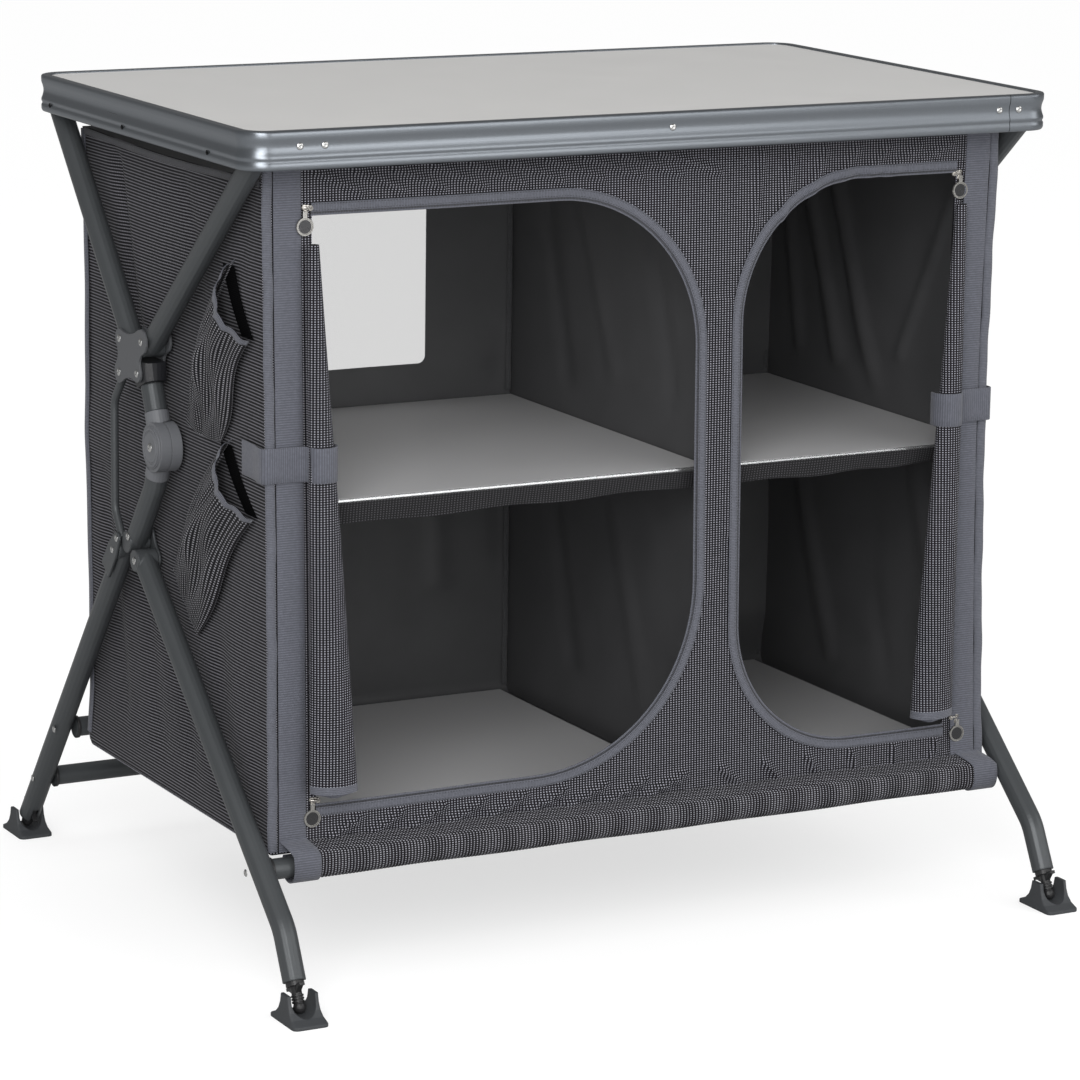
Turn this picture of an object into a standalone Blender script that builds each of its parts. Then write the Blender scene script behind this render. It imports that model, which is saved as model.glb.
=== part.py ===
"""Camp kitchen unit: a folding tube frame, a lift-off table top and a cloth cabinet with shelves.

Metres, +Z up. The front faces -Y, the origin is on the floor in the middle of the four feet.
"""
import math

import bmesh
import bpy
from mathutils import Matrix, Vector

# Clearances
SEAT = 0.0003            # between two pieces that touch
RUNNING = 0.0008         # between a sliding stem and its bore
WELD = 0.00001           # points of a curve's caps that are one point

# Table top
TABLE_WIDTH = 0.868
TABLE_DEPTH = 0.520
TABLE_HEIGHT = 0.810
RIM_HEIGHT = 0.036
RIM_THICKNESS = 0.012
RIM_FLUTE = 0.0022       # depth of the hollow moulding on the outer face
RIM_CORNER = 0.028       # plan radius of the rounded corners
RIM_LIP = 0.0012         # how far the rim's top bead stands over the board
RIM_EASE = 0.0014
RIM_REBATE = 0.0030      # ledge under the board
RIM_GROOVE = 0.0008      # depth of the fine groove
RIM_GROOVE_LOW = 0.0070
RIM_GROOVE_HIGH = 0.0098
FLUTE_LOW = 0.0135
FLUTE_HIGH = 0.0280
BOARD_THICKNESS = 0.012
BRACE_DIAMETER = 0.016
FRONT_BRACE_IN = 0.0865  # front brace behind the top's front edge
REAR_BRACE_IN = 0.0535   # rear brace in front of its rear edge
TABLE_Y = -0.0085        # middle of the top, in front of the middle of the feet

# Side frames
TUBE_DIAMETER = 0.022
TUBE_WALL = 0.0015
FRAME_INSET = 0.0200         # middle of the side frames' tubes inside the ends of the top
PLATE_THICKNESS = 0.0025
PIN_SETBACK = 0.0080         # middle of an arm's round end beyond its pin
LEG_SETBACK = 0.0020         # the same on the rear leg

# Side frame geometry as (y, z), seen from the side; the arms' tops follow the rim
FRONT_ARM_PIN = Vector((-0.0065, 0.579))
FRONT_ARM_IN = 0.0424        # the arms' axes at their tops inside the top's edges
FRONT_ARM_DROP = 0.0045      # those tops under the rim's lower edge
REAR_ARM_PIN = Vector((0.0470, 0.5745))
REAR_ARM_IN = 0.0267
REAR_ARM_DROP = 0.0019
ROD_TOP_PIN = Vector((0.0479, 0.5414))
LINK_TOP_PIN = Vector((0.0039, 0.5469))
KNEE_CENTRE = Vector((-0.0265, 0.480))
LINK_BEND = Vector((-0.0075, 0.4370))
LINK_LOW_PIN = Vector((0.0350, 0.3805))
ROD_LOW_PIN = Vector((0.0575, 0.3745))
FRONT_LEG_PIN = Vector((0.0195, 0.3595))
FRONT_LEG_BEND = Vector((-0.3075, 0.0780))
FRONT_LEG_END = Vector((-0.3301, 0.0345))
REAR_LEG_PIN = Vector((0.0685, 0.3610))
REAR_LEG_END = Vector((0.3339, 0.0220))
LEG_BEND_RADIUS = 0.050
LINK_BEND_RADIUS = 0.040

# Hub plates, knee and rod
FRONT_ARM_LOBE = 0.0125      # plate round each pin of the upper hub
REAR_ARM_LOBE = 0.0095
ROD_LOBE = 0.0110
LINK_LOBE = 0.0090
TOP_HOLLOW = 0.060           # hollow edges between the lobes
FRONT_HOLLOW = 0.010
BOTTOM_HOLLOW = 0.040
REAR_HOLLOW = 0.012
LOWER_LOBE = 0.0100          # the lower hub's plate round its pins
LOWER_HOLLOW = 0.030
SADDLE_DROP = 0.0200         # saddle's top under the front arm's pin
SADDLE_FOOT = 0.0120         # saddle's bottom past the link's pin
SADDLE_HALF = 0.0125         # half its width there
SADDLE_NOSE = 0.0220         # its reach in front of the front arm's pin
SADDLE_TO_ROD = 0.0160       # its back to the rod's pin
SADDLE_EASE = 0.0050
SADDLE_HEIGHT = 0.0400       # it tapers over this height, up from the link's pin
SADDLE_SKIRT = 0.0152        # radius it is turned to round the link, at its foot
SADDLE_CROWN = 0.0290        # and above, level with the front arm's pin
KNEE_RADIUS = 0.0240
KNEE_NECK = 0.0340           # reach of each neck from the knee's centre
KNEE_NECK_START = 0.0140
KNEE_NECK_RADIUS = 0.0118
KNEE_DISC_PLAY = 0.0005
KNEE_COVER_RADIUS = 0.0205   # raised cover on the outer half
KNEE_COVER_HEIGHT = 0.0014
ROD_DIAMETER = 0.0080
ROD_BOW = 0.0185             # how far the rod bows to the rear
ROD_SHOULDER = 0.0340        # height of its upper bend under the top pin
ROD_HEEL = 0.0260            # height of its lower bend over the low pin
ROD_BEND_RADIUS = 0.0200
FORK_TIP = 0.0065            # fork round the rod's low pin
FORK_SKIRT = 0.0300          # fork's reach down the rear leg
FORK_HALF = 0.0105

# Bars
BAR_DIAMETER = 0.020
FRONT_BAR = Vector((-0.2455, 0.1165))
REAR_UPPER_BAR = Vector((0.2340, 0.1385))
REAR_LOWER_BAR = Vector((0.2955, 0.0710))
SLEEVE_THICKNESS = 0.0022
SLEEVE_START = -0.3720
SLEEVE_END = 0.3880

# Feet
BORE_DEPTH_FRONT = 0.0380
BORE_DEPTH_REAR = 0.0420
SLOT_DEPTH = 0.0180          # slots in a rear tube's end, which take the wings
SLOT_WIDTH = 0.0062
FRONT_WING_DROP = 0.0035     # wing's upper edge past the tube's end, along the tube
REAR_WING_DROP = -0.0085
STEM_LENGTH = 0.0250         # stem above the wings
STEM_FOOT = 0.0010           # stem below their upper edge
BALL_DROP = 0.0205           # ball's middle below it
BALL_DIAMETER = 0.0120
NECK_DIAMETER = 0.0100
WING_HALF = 0.0165
WING_WIDTH = 0.0050
WING_EDGE = 0.0030           # its thickness at the tips
WING_ROOT = 0.0080           # and at the stem
WING_ROOT_HALF = 0.0040
WING_KNEE_HALF = 0.0120
PAD_CORNER = 0.0050
PAD_CRADLE = 0.0122          # radius of the hollow between the ears
PAD_RINGS = (                # height, and half width and half length there
    (0.0000, 0.0180, 0.0280),
    (0.0030, 0.0180, 0.0280),
    (0.0070, 0.0169, 0.0185),
    (0.0122, 0.0162, 0.0129),
    (0.0189, 0.0158, 0.0095),
    (0.0270, 0.0157, 0.0076),
)

# Cloth cabinet
CABINET_TO_TUBE = 0.0042     # cabinet's side to the side frame's tubes
CLOTH = 0.0015
CABINET_DROP = 0.0140        # cabinet's top edge under the rim
CABINET_BACK = 0.2085
FRONT_TOP_Y = -0.2235        # outer face of the front, at CABINET_TOP
FRONT_SETBACK = 0.0065       # outer face of the front behind the front bar, at its bottom
BACK_CORNER = 0.0120         # where the back turns into the floor
WINDOW_LEFT = -0.2820
WINDOW_RIGHT = -0.0180
WINDOW_BOTTOM = 0.4950
WINDOW_TOP = 0.6650
WINDOW_RADIUS = 0.0150
WINDOW_RECESS = 0.0007
SIDE_SAG = 0.0130            # dip of the side's top edge
DIVIDER_X = 0.0830
LEDGE_WIDTH = 0.0080
LEDGE_HEIGHT = 0.0200
LEDGE_INSET = 0.0040         # each end of a ledge inside its shelf
SEAM_BITE = 0.0005           # how far a sewn-on piece runs into the cloth that carries it
HEM_CORNER = 0.0040          # rounded corners of the front

# Door openings in the front: the cloth left round each
LEFT_DOOR_BAND = 0.0403      # from the cabinet's side
RIGHT_DOOR_BAND = 0.0408
LEFT_DOOR_POST = 0.0230      # from the divider
RIGHT_DOOR_POST = 0.0200
DOOR_SILL = 0.0387           # from the cabinet's floor
LEFT_DOOR_HEAD = 0.0300      # from the cabinet's top edge
RIGHT_DOOR_HEAD = 0.0250
OPENING_SOFT_CORNER = 0.0080
OPENING_TOP_RADIUS = 0.1520
OPENING_BOTTOM_RADIUS = 0.1800
SMALL_TOP_RADIUS = 0.1400
SMALL_BOTTOM_RADIUS = 0.1300

# Shelves
SHELF_THICKNESS = 0.0060
SHELF_TOP = 0.4560
SHELF_FRONT = -0.2125
SHELF_REAR = 0.2025
FLOOR_BOARD_PLAY = 0.0120    # bottom boards to the cloth at each side, so they pass the ledges
SHELF_EDGE_RADIUS = 0.0015

# Rolled doors: the middle inside the opening's edge, at top and bottom
LEFT_ROLL_TOP = 0.0065
LEFT_ROLL_BOTTOM = 0.0205
RIGHT_ROLL_TOP = 0.0060
RIGHT_ROLL_BOTTOM = 0.0365
DOOR_LAP = 0.0055            # sewn edge over the front, beside the opening
ROLL_HEAD = 0.0300           # roll's top under the left opening's
ROLL_SILL = 0.0200           # roll's bottom over the openings'
ROLL_TOP_SIZE = (0.0120, 0.0110)
ROLL_BOTTOM_SIZE = (0.0500, 0.0300)

# Pockets on the left side: each mouth as its rear and front end (y, z)
POCKET_THICKNESS = 0.0020
POCKET_FRONT = -0.2205
POCKET_REAR = -0.0615
POCKET_BOTTOM = 0.3150
POCKET_TAPER = 0.0200        # bottom's rear corner in front of the rear seam
POCKET_SAG = 0.0120          # dip of a mouth's middle
POCKET_LAP = 0.0100          # upper pocket's bottom over the lower one's mouth
UPPER_MOUTH = (Vector((-0.1205, 0.6560)), Vector((-0.2155, 0.6090)))
LOWER_MOUTH = (Vector((-0.1205, 0.4900)), Vector((-0.2175, 0.4470)))

# Zip pulls: each hinge inside its opening's side and above or below its end
LEFT_TOP_PULL_IN = 0.0010
LEFT_TOP_PULL_UP = -0.0010
LEFT_BOTTOM_PULL_IN = 0.0040
LEFT_BOTTOM_PULL_UP = 0.0040
RIGHT_TOP_PULL_IN = 0.0040
RIGHT_TOP_PULL_UP = -0.0090
RIGHT_BOTTOM_PULL_IN = -0.0060
RIGHT_BOTTOM_PULL_UP = 0.0060
RING_RADIUS = 0.0079
RING_WIRE = 0.0011
PULL_DROP = 0.0130           # ring's middle under the hinge
DISC_THICKNESS = 0.0010      # plain disc that fills the ring
TAB_WIDTH = 0.0044
TAB_THICKNESS = 0.0024
TAB_ABOVE = 0.0015           # tab's top over the hinge
TAB_EASE = 0.0004

# Derived places
TUBE_RADIUS = TUBE_DIAMETER / 2
BAR_RADIUS = BAR_DIAMETER / 2
END_RADIUS = TUBE_RADIUS - SEAT
RIM_BOTTOM = TABLE_HEIGHT - RIM_HEIGHT
TABLE_FRONT = TABLE_Y - TABLE_DEPTH / 2
TABLE_REAR = TABLE_Y + TABLE_DEPTH / 2
FRONT_ARM_TOP = Vector((TABLE_FRONT + FRONT_ARM_IN, RIM_BOTTOM - FRONT_ARM_DROP))
REAR_ARM_TOP = Vector((TABLE_REAR - REAR_ARM_IN, RIM_BOTTOM - REAR_ARM_DROP))
FRONT_BRACE_Y = TABLE_FRONT + FRONT_BRACE_IN
REAR_BRACE_Y = TABLE_REAR - REAR_BRACE_IN
FRAME_HALF_WIDTH = TABLE_WIDTH / 2 - FRAME_INSET
CABINET_HALF_WIDTH = FRAME_HALF_WIDTH - TUBE_RADIUS - CABINET_TO_TUBE
CABINET_TOP = RIM_BOTTOM - CABINET_DROP
OUTER_PLATE = FRAME_HALF_WIDTH + TUBE_RADIUS + SEAT
INNER_PLATE = FRAME_HALF_WIDTH - TUBE_RADIUS - SEAT - PLATE_THICKNESS
SLEEVE_RADIUS = BAR_RADIUS + SEAT + SLEEVE_THICKNESS
CABINET_FLOOR = FRONT_BAR[1] + SLEEVE_RADIUS + SEAT
FRONT_BOTTOM_Y = FRONT_BAR[0] + FRONT_SETBACK
FRONT_LEAN = (FRONT_BOTTOM_Y - FRONT_TOP_Y) / (CABINET_TOP - CABINET_FLOOR)
DOOR_BOTTOM = CABINET_FLOOR + DOOR_SILL
LEFT_OPENING = (-CABINET_HALF_WIDTH + LEFT_DOOR_BAND, DIVIDER_X - LEFT_DOOR_POST,
                DOOR_BOTTOM, CABINET_TOP - LEFT_DOOR_HEAD)
RIGHT_OPENING = (DIVIDER_X + RIGHT_DOOR_POST, CABINET_HALF_WIDTH - RIGHT_DOOR_BAND,
                 DOOR_BOTTOM, CABINET_TOP - RIGHT_DOOR_HEAD)
LEFT_ROLL = (LEFT_OPENING[0] + LEFT_ROLL_TOP, LEFT_OPENING[0] + LEFT_ROLL_BOTTOM)
RIGHT_ROLL = (RIGHT_OPENING[1] - RIGHT_ROLL_TOP, RIGHT_OPENING[1] - RIGHT_ROLL_BOTTOM)
ROLL_TOP_Z = LEFT_OPENING[3] - ROLL_HEAD
ROLL_BOTTOM_Z = DOOR_BOTTOM + ROLL_SILL
ZIP_PULLS = {
    "left_top_zip_pull": (LEFT_OPENING[0] + LEFT_TOP_PULL_IN, LEFT_OPENING[3] + LEFT_TOP_PULL_UP),
    "left_bottom_zip_pull": (LEFT_OPENING[0] + LEFT_BOTTOM_PULL_IN, DOOR_BOTTOM + LEFT_BOTTOM_PULL_UP),
    "right_top_zip_pull": (RIGHT_OPENING[1] - RIGHT_TOP_PULL_IN, RIGHT_OPENING[3] + RIGHT_TOP_PULL_UP),
    "right_bottom_zip_pull": (RIGHT_OPENING[1] - RIGHT_BOTTOM_PULL_IN, DOOR_BOTTOM + RIGHT_BOTTOM_PULL_UP),
}
SHELF_SPANS = {
    "left": (-CABINET_HALF_WIDTH + CLOTH + SEAT, DIVIDER_X - CLOTH / 2 - SEAT),
    "right": (DIVIDER_X + CLOTH / 2 + SEAT, CABINET_HALF_WIDTH - CLOTH - SEAT),
}

for old in list(bpy.data.objects):
    bpy.data.objects.remove(old, do_unlink=True)

scene_collection = bpy.context.scene.collection
parts = bpy.data.collections.new("camp_kitchen_unit")
cutters = bpy.data.collections.new("cutters")
scene_collection.children.link(parts)
scene_collection.children.link(cutters)


def material(name, colour, roughness, metallic=0.0):
    """A Principled material with a plain finish."""
    made = bpy.data.materials.new(name)
    made.use_nodes = True
    shader = made.node_tree.nodes["Principled BSDF"]
    shader.inputs["Base Color"].default_value = (*colour, 1.0)
    shader.inputs["Roughness"].default_value = roughness
    shader.inputs["Metallic"].default_value = metallic
    return made


LAMINATE = material("laminate", (0.52, 0.51, 0.50), 0.55)
RIM_METAL = material("rim_metal", (0.075, 0.085, 0.092), 0.32, 0.9)
FRAME_METAL = material("frame_metal", (0.070, 0.078, 0.080), 0.45, 0.7)
HUB_PLASTIC = material("hub_plastic", (0.11, 0.12, 0.125), 0.5)
BLACK_PLASTIC = material("black_plastic", (0.015, 0.015, 0.016), 0.5)
PAD_PLASTIC = material("pad_plastic", (0.06, 0.063, 0.068), 0.6)
CABINET_CLOTH = material("cabinet_cloth", (0.035, 0.034, 0.037), 0.9)
SHELF_BOARD = material("shelf_board", (0.26, 0.26, 0.26), 0.45)
ZIP_METAL = material("zip_metal", (0.60, 0.58, 0.54), 0.25, 1.0)


def add_part(name, mesh, finish, smooth=40.0):
    """Link one finished mesh as a named sub-part."""
    mesh.materials.clear()
    mesh.materials.append(finish)
    mesh.shade_smooth()
    mesh.set_sharp_from_angle(angle=math.radians(smooth))
    obj = bpy.data.objects.new(name, mesh)
    parts.objects.link(obj)
    return obj


def mesh_of(obj):
    """The evaluated object as a welded mesh in world space; the object is removed."""
    bpy.context.view_layer.update()
    graph = bpy.context.evaluated_depsgraph_get()
    mesh = bpy.data.meshes.new_from_object(obj.evaluated_get(graph))
    mesh.transform(obj.matrix_world)
    work = bmesh.new()
    work.from_mesh(mesh)
    bmesh.ops.remove_doubles(work, verts=work.verts, dist=WELD)
    bmesh.ops.recalc_face_normals(work, faces=work.faces)
    work.to_mesh(mesh)
    work.free()
    bpy.data.objects.remove(obj, do_unlink=True)
    return mesh


def combine(mesh, others, operation):
    """Cut others out of a mesh, or join them to it, with the exact Boolean."""
    body = bpy.data.objects.new("body", mesh)
    cutters.objects.link(body)
    tools = []
    for other in others:
        tool = bpy.data.objects.new("tool", other)
        cutters.objects.link(tool)
        tool.hide_render = True
        tool.display_type = "WIRE"
        modifier = body.modifiers.new("boolean", "BOOLEAN")
        modifier.operation = operation
        modifier.solver = "EXACT"
        modifier.object = tool
        tools.append(tool)
    result = mesh_of(body)
    for tool in tools:
        bpy.data.objects.remove(tool, do_unlink=True)
    return result


def rounded_path(points, radius, steps=6):
    """A path through points whose inner corners are arcs of the given radius."""
    path = [points[0]]
    for before, corner, after in zip(points, points[1:], points[2:]):
        back = (before - corner).normalized()
        ahead = (after - corner).normalized()
        half = back.angle(ahead) / 2
        setback = radius / math.tan(half)
        centre = corner + (back + ahead).normalized() * (radius / math.sin(half))
        start = corner + back * setback - centre
        end = corner + ahead * setback - centre
        sweep = start.angle(end)
        for step in range(steps + 1):
            share = step / steps
            arm = start * math.sin((1 - share) * sweep) + end * math.sin(share * sweep)
            path.append(centre + arm / math.sin(sweep))
    path.append(points[-1])
    return path


def curve_object(paths, dimensions="3D", cyclic=False):
    """A curve object with one POLY spline for each path."""
    data = bpy.data.curves.new("path", "CURVE")
    data.dimensions = dimensions
    for path in paths:
        spline = data.splines.new("POLY")
        spline.points.add(len(path) - 1)
        for slot, point in zip(spline.points, path):
            slot.co = (*Vector(point).to_3d(), 1.0)
        spline.use_cyclic_u = cyclic
    obj = bpy.data.objects.new("path", data)
    cutters.objects.link(obj)
    return obj


def tube_mesh(points, radius, resolution=6):
    """A round bar along points, with flat ends."""
    obj = curve_object([points])
    obj.data.bevel_depth = radius
    obj.data.bevel_resolution = resolution
    obj.data.use_fill_caps = True
    return mesh_of(obj)


def slab_mesh(outlines, thickness, matrix):
    """A flat outline, with any holes, extruded to a thickness from its plane."""
    obj = curve_object(outlines, dimensions="2D", cyclic=True)
    obj.data.fill_mode = "BOTH"
    obj.data.extrude = thickness / 2
    obj.matrix_world = matrix @ Matrix.Translation((0, 0, thickness / 2))
    return mesh_of(obj)


def side_plane(x):
    """Outline (y, z) drawn at x, thickness towards +X."""
    axes = Matrix(((0, 0, 1), (1, 0, 0), (0, 1, 0))).to_4x4()
    return Matrix.Translation((x, 0, 0)) @ axes


def front_plane(y):
    """Outline (x, z) drawn at y, thickness towards -Y."""
    axes = Matrix(((1, 0, 0), (0, 0, -1), (0, 1, 0))).to_4x4()
    return Matrix.Translation((0, y, 0)) @ axes


def arc(centre, radius, start, end, steps=8):
    """Points on an arc, angles in degrees, anticlockwise from start to end."""
    points = []
    for step in range(steps + 1):
        angle = math.radians(start + (end - start) * step / steps)
        points.append(Vector((centre[0] + radius * math.cos(angle),
                              centre[1] + radius * math.sin(angle))))
    return points


def sweep_arc(centre, radius, start, end, steps, clockwise=False):
    """Points on an arc from one direction to another."""
    first = math.degrees(math.atan2(start[1], start[0]))
    last = math.degrees(math.atan2(end[1], end[0]))
    if clockwise:
        last -= 360 * math.ceil((last - first) / 360)
    else:
        last += 360 * math.ceil((first - last) / 360)
    return arc(centre, radius, first, last, steps)


def lobed_outline(lobes):
    """A plate's outline, anticlockwise: a lobe round each pin, a hollow edge after it."""
    hollows = []
    for (pin, radius, hollow), (following, following_radius, _) in zip(lobes, lobes[1:] + lobes[:1]):
        reach, other = radius + hollow, following_radius + hollow
        way = (following - pin).normalized()
        gap = (following - pin).length
        along = (reach ** 2 - other ** 2 + gap ** 2) / (2 * gap)
        out = Vector((way[1], -way[0])) * math.sqrt(reach ** 2 - along ** 2)
        hollows.append(pin + way * along + out)
    outline = []
    for index, (pin, radius, hollow) in enumerate(lobes):
        following = lobes[(index + 1) % len(lobes)][0]
        before, after = hollows[index - 1], hollows[index]
        outline += sweep_arc(pin, radius, before - pin, after - pin, 6)
        outline += sweep_arc(after, hollow, pin - after, following - after, 5, clockwise=True)[1:-1]
    return outline


def rounded_box(left, right, bottom, top, radii, steps=8):
    """Outline of a rectangle; radii are for its lower left, lower right, upper right, upper left."""
    low_left, low_right, up_right, up_left = radii
    return (arc((left + low_left, bottom + low_left), low_left, 180, 270, steps)
            + arc((right - low_right, bottom + low_right), low_right, 270, 360, steps)
            + arc((right - up_right, top - up_right), up_right, 0, 90, steps)
            + arc((left + up_left, top - up_left), up_left, 90, 180, steps))


def box_mesh(low, high, bevel=0.0):
    """A box between two corners, with its edges eased where a bevel is given."""
    work = bmesh.new()
    bmesh.ops.create_cube(work, size=1.0)
    low, high = Vector(low), Vector(high)
    for vert in work.verts:
        vert.co = (low + high) / 2 + Vector(a * b for a, b in zip(vert.co, high - low))
    if bevel:
        bmesh.ops.bevel(work, geom=work.edges[:], offset=bevel, segments=2,
                        profile=0.5, affect="EDGES")
    mesh = bpy.data.meshes.new("box")
    work.to_mesh(mesh)
    work.free()
    return mesh


def rod_mesh(start, end, radius, segments=24):
    """A cylinder between two points."""
    start, end = Vector(start), Vector(end)
    work = bmesh.new()
    turn = (end - start).to_track_quat("Z", "Y").to_matrix().to_4x4()
    place = Matrix.Translation((start + end) / 2) @ turn
    bmesh.ops.create_cone(work, cap_ends=True, segments=segments, radius1=radius,
                          radius2=radius, depth=(end - start).length, matrix=place)
    mesh = bpy.data.meshes.new("rod")
    work.to_mesh(mesh)
    work.free()
    return mesh


def at(x, point):
    """A point of the side view set at x."""
    return Vector((x, point[0], point[1]))


def beyond(pin, other, distance):
    """The point past a pin on the line from another point."""
    return pin + (pin - other).normalized() * distance


def mirrored(mesh):
    """A copy of a mesh on the other side of the object."""
    copy = mesh.copy()
    copy.transform(Matrix.Scale(-1, 4, Vector((1, 0, 0))))
    copy.flip_normals()
    return copy


def add_pair(name, mesh, finish):
    """The same piece on the right side as modelled, and mirrored on the left."""
    add_part("right_" + name, mesh, finish)
    add_part("left_" + name, mirrored(mesh), finish)


def table_top():
    """Laminate board in a fluted aluminium rim, with three cross braces underneath."""
    half_w, half_d = TABLE_WIDTH / 2, TABLE_DEPTH / 2
    path = rounded_box(-half_w, half_w, -half_d, half_d, [RIM_CORNER] * 4, steps=7)
    rail = curve_object([path], dimensions="2D", cyclic=True)
    wall, tall, flute = RIM_THICKNESS, RIM_HEIGHT, RIM_FLUTE
    board_seat = tall - RIM_LIP - BOARD_THICKNESS - 2 * SEAT
    rebate = wall - RIM_REBATE
    # Profile as (distance inward, height): up the outer face, over the lip and down inside.
    section = [(RIM_EASE, 0), (0, RIM_EASE), (0, RIM_GROOVE_LOW), (RIM_GROOVE, RIM_GROOVE_LOW + RIM_GROOVE),
               (RIM_GROOVE, RIM_GROOVE_HIGH - RIM_GROOVE), (0, RIM_GROOVE_HIGH), (0, FLUTE_LOW)]
    for step in range(1, 6):
        share = step / 6
        section.append((flute * math.sin(math.pi * share), FLUTE_LOW + (FLUTE_HIGH - FLUTE_LOW) * share))
    section += [(0, FLUTE_HIGH), (0, tall - RIM_EASE), (RIM_EASE, tall), (rebate - RIM_LIP, tall),
                (rebate, tall - RIM_LIP), (rebate, board_seat), (wall, board_seat), (wall, 0)]
    profile = curve_object([section], "2D", cyclic=True)
    rail.data.bevel_mode = "OBJECT"
    rail.data.bevel_object = profile
    rail.matrix_world = Matrix.Translation((0, TABLE_Y, RIM_BOTTOM))
    add_part("table_rim", mesh_of(rail), RIM_METAL)
    bpy.data.objects.remove(profile, do_unlink=True)

    inset = rebate + SEAT
    outline = rounded_box(-half_w + inset, half_w - inset, -half_d + inset, half_d - inset,
                          [RIM_CORNER - inset] * 4, steps=7)
    under = TABLE_HEIGHT - RIM_LIP - SEAT - BOARD_THICKNESS
    add_part("table_panel", slab_mesh([outline], BOARD_THICKNESS,
                                      Matrix.Translation((0, TABLE_Y, under))), LAMINATE)
    reach = half_w - RIM_THICKNESS - SEAT
    brace_z = under - SEAT - BRACE_DIAMETER / 2
    for name, y in (("front_brace", FRONT_BRACE_Y), ("rear_brace", REAR_BRACE_Y),
                    ("middle_brace", (FRONT_BRACE_Y + REAR_BRACE_Y) / 2)):
        add_part(name, rod_mesh((-reach, y, brace_z), (reach, y, brace_z), BRACE_DIAMETER / 2, 16),
                 RIM_METAL)


def round_end(tube, centre):
    """The tube with a rounded end about an axis across it."""
    x = FRAME_HALF_WIDTH
    cap = rod_mesh((x - END_RADIUS, *centre), (x + END_RADIUS, *centre), END_RADIUS)
    return combine(tube, [cap], "UNION")


def arm(name, pin, top):
    """An upper tube from its hub pin to the underside of the rim, cut level there."""
    x = FRAME_HALF_WIDTH
    low = beyond(pin, top, PIN_SETBACK)
    tube = tube_mesh([at(x, low), at(x, beyond(top, pin, TUBE_DIAMETER))], TUBE_RADIUS)
    level = RIM_BOTTOM - SEAT
    lid = box_mesh((x - TUBE_DIAMETER, -TABLE_DEPTH, level), (x + TUBE_DIAMETER, TABLE_DEPTH, level * 2))
    add_pair(name, round_end(combine(tube, [lid], "DIFFERENCE"), low), FRAME_METAL)


def hubs():
    """Star plates on both sides of the tubes, with the saddle that holds the upper link."""
    outline = lobed_outline([(ROD_TOP_PIN, ROD_LOBE, REAR_HOLLOW),
                             (REAR_ARM_PIN, REAR_ARM_LOBE, TOP_HOLLOW),
                             (FRONT_ARM_PIN, FRONT_ARM_LOBE, FRONT_HOLLOW),
                             (LINK_TOP_PIN, LINK_LOBE, BOTTOM_HOLLOW)])
    for name, x in (("hub_outer_plate", OUTER_PLATE), ("hub_inner_plate", INNER_PLATE)):
        add_pair(name, slab_mesh([outline], PLATE_THICKNESS, side_plane(x)), HUB_PLASTIC)
    along = (KNEE_CENTRE - LINK_TOP_PIN).normalized()
    across = Vector((-along[1], along[0])) * SADDLE_HALF
    foot = LINK_TOP_PIN + along * SADDLE_FOOT
    top = FRONT_ARM_PIN[1] - SADDLE_DROP
    rear = ROD_TOP_PIN[0] - SADDLE_TO_ROD
    nose = FRONT_ARM_PIN[0] - SADDLE_NOSE
    saddle = [foot - across, foot + across, Vector((rear, ROD_TOP_PIN[1])),
              Vector((rear, top - SADDLE_EASE)), Vector((rear - SADDLE_EASE, top)),
              Vector((nose + SADDLE_EASE, top)), Vector((nose, top - SADDLE_EASE)),
              Vector((nose + SADDLE_EASE, top - SADDLE_HALF))]
    inner = INNER_PLATE + PLATE_THICKNESS + SEAT
    block = slab_mesh([saddle], OUTER_PLATE - SEAT - inner, side_plane(inner))
    work = bmesh.new()
    low, high = at(FRAME_HALF_WIDTH, foot), at(FRAME_HALF_WIDTH, foot - along * SADDLE_HEIGHT)
    turn = (high - low).to_track_quat("Z", "Y").to_matrix().to_4x4()
    bmesh.ops.create_cone(work, cap_ends=True, segments=28, radius1=SADDLE_SKIRT, radius2=SADDLE_CROWN,
                          depth=SADDLE_HEIGHT, matrix=Matrix.Translation((low + high) / 2) @ turn)
    cone = bpy.data.meshes.new("cone")
    work.to_mesh(cone)
    work.free()
    add_pair("hub_saddle", combine(block, [cone], "INTERSECT"), BLACK_PLASTIC)


def knee_half(toward, side):
    """Half of the knee's housing, outer or inner: a disc, and a neck for the tube."""
    x = FRAME_HALF_WIDTH
    way = (toward - KNEE_CENTRE).normalized()
    neck = rod_mesh(at(x, KNEE_CENTRE + way * KNEE_NECK_START), at(x, KNEE_CENTRE + way * KNEE_NECK),
                    KNEE_NECK_RADIUS)
    middle = x + side * SEAT / 2
    clear = rod_mesh(at(middle, KNEE_CENTRE), at(x - side * TUBE_DIAMETER, KNEE_CENTRE),
                     KNEE_RADIUS + KNEE_DISC_PLAY, 40)
    face = x + side * TUBE_RADIUS
    discs = [rod_mesh(at(middle, KNEE_CENTRE), at(face, KNEE_CENTRE), KNEE_RADIUS, 40)]
    if side > 0:
        discs.append(rod_mesh(at(x, KNEE_CENTRE), at(face + KNEE_COVER_HEIGHT, KNEE_CENTRE),
                              KNEE_COVER_RADIUS, 40))
    return combine(combine(neck, [clear], "DIFFERENCE"), discs, "UNION")


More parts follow.
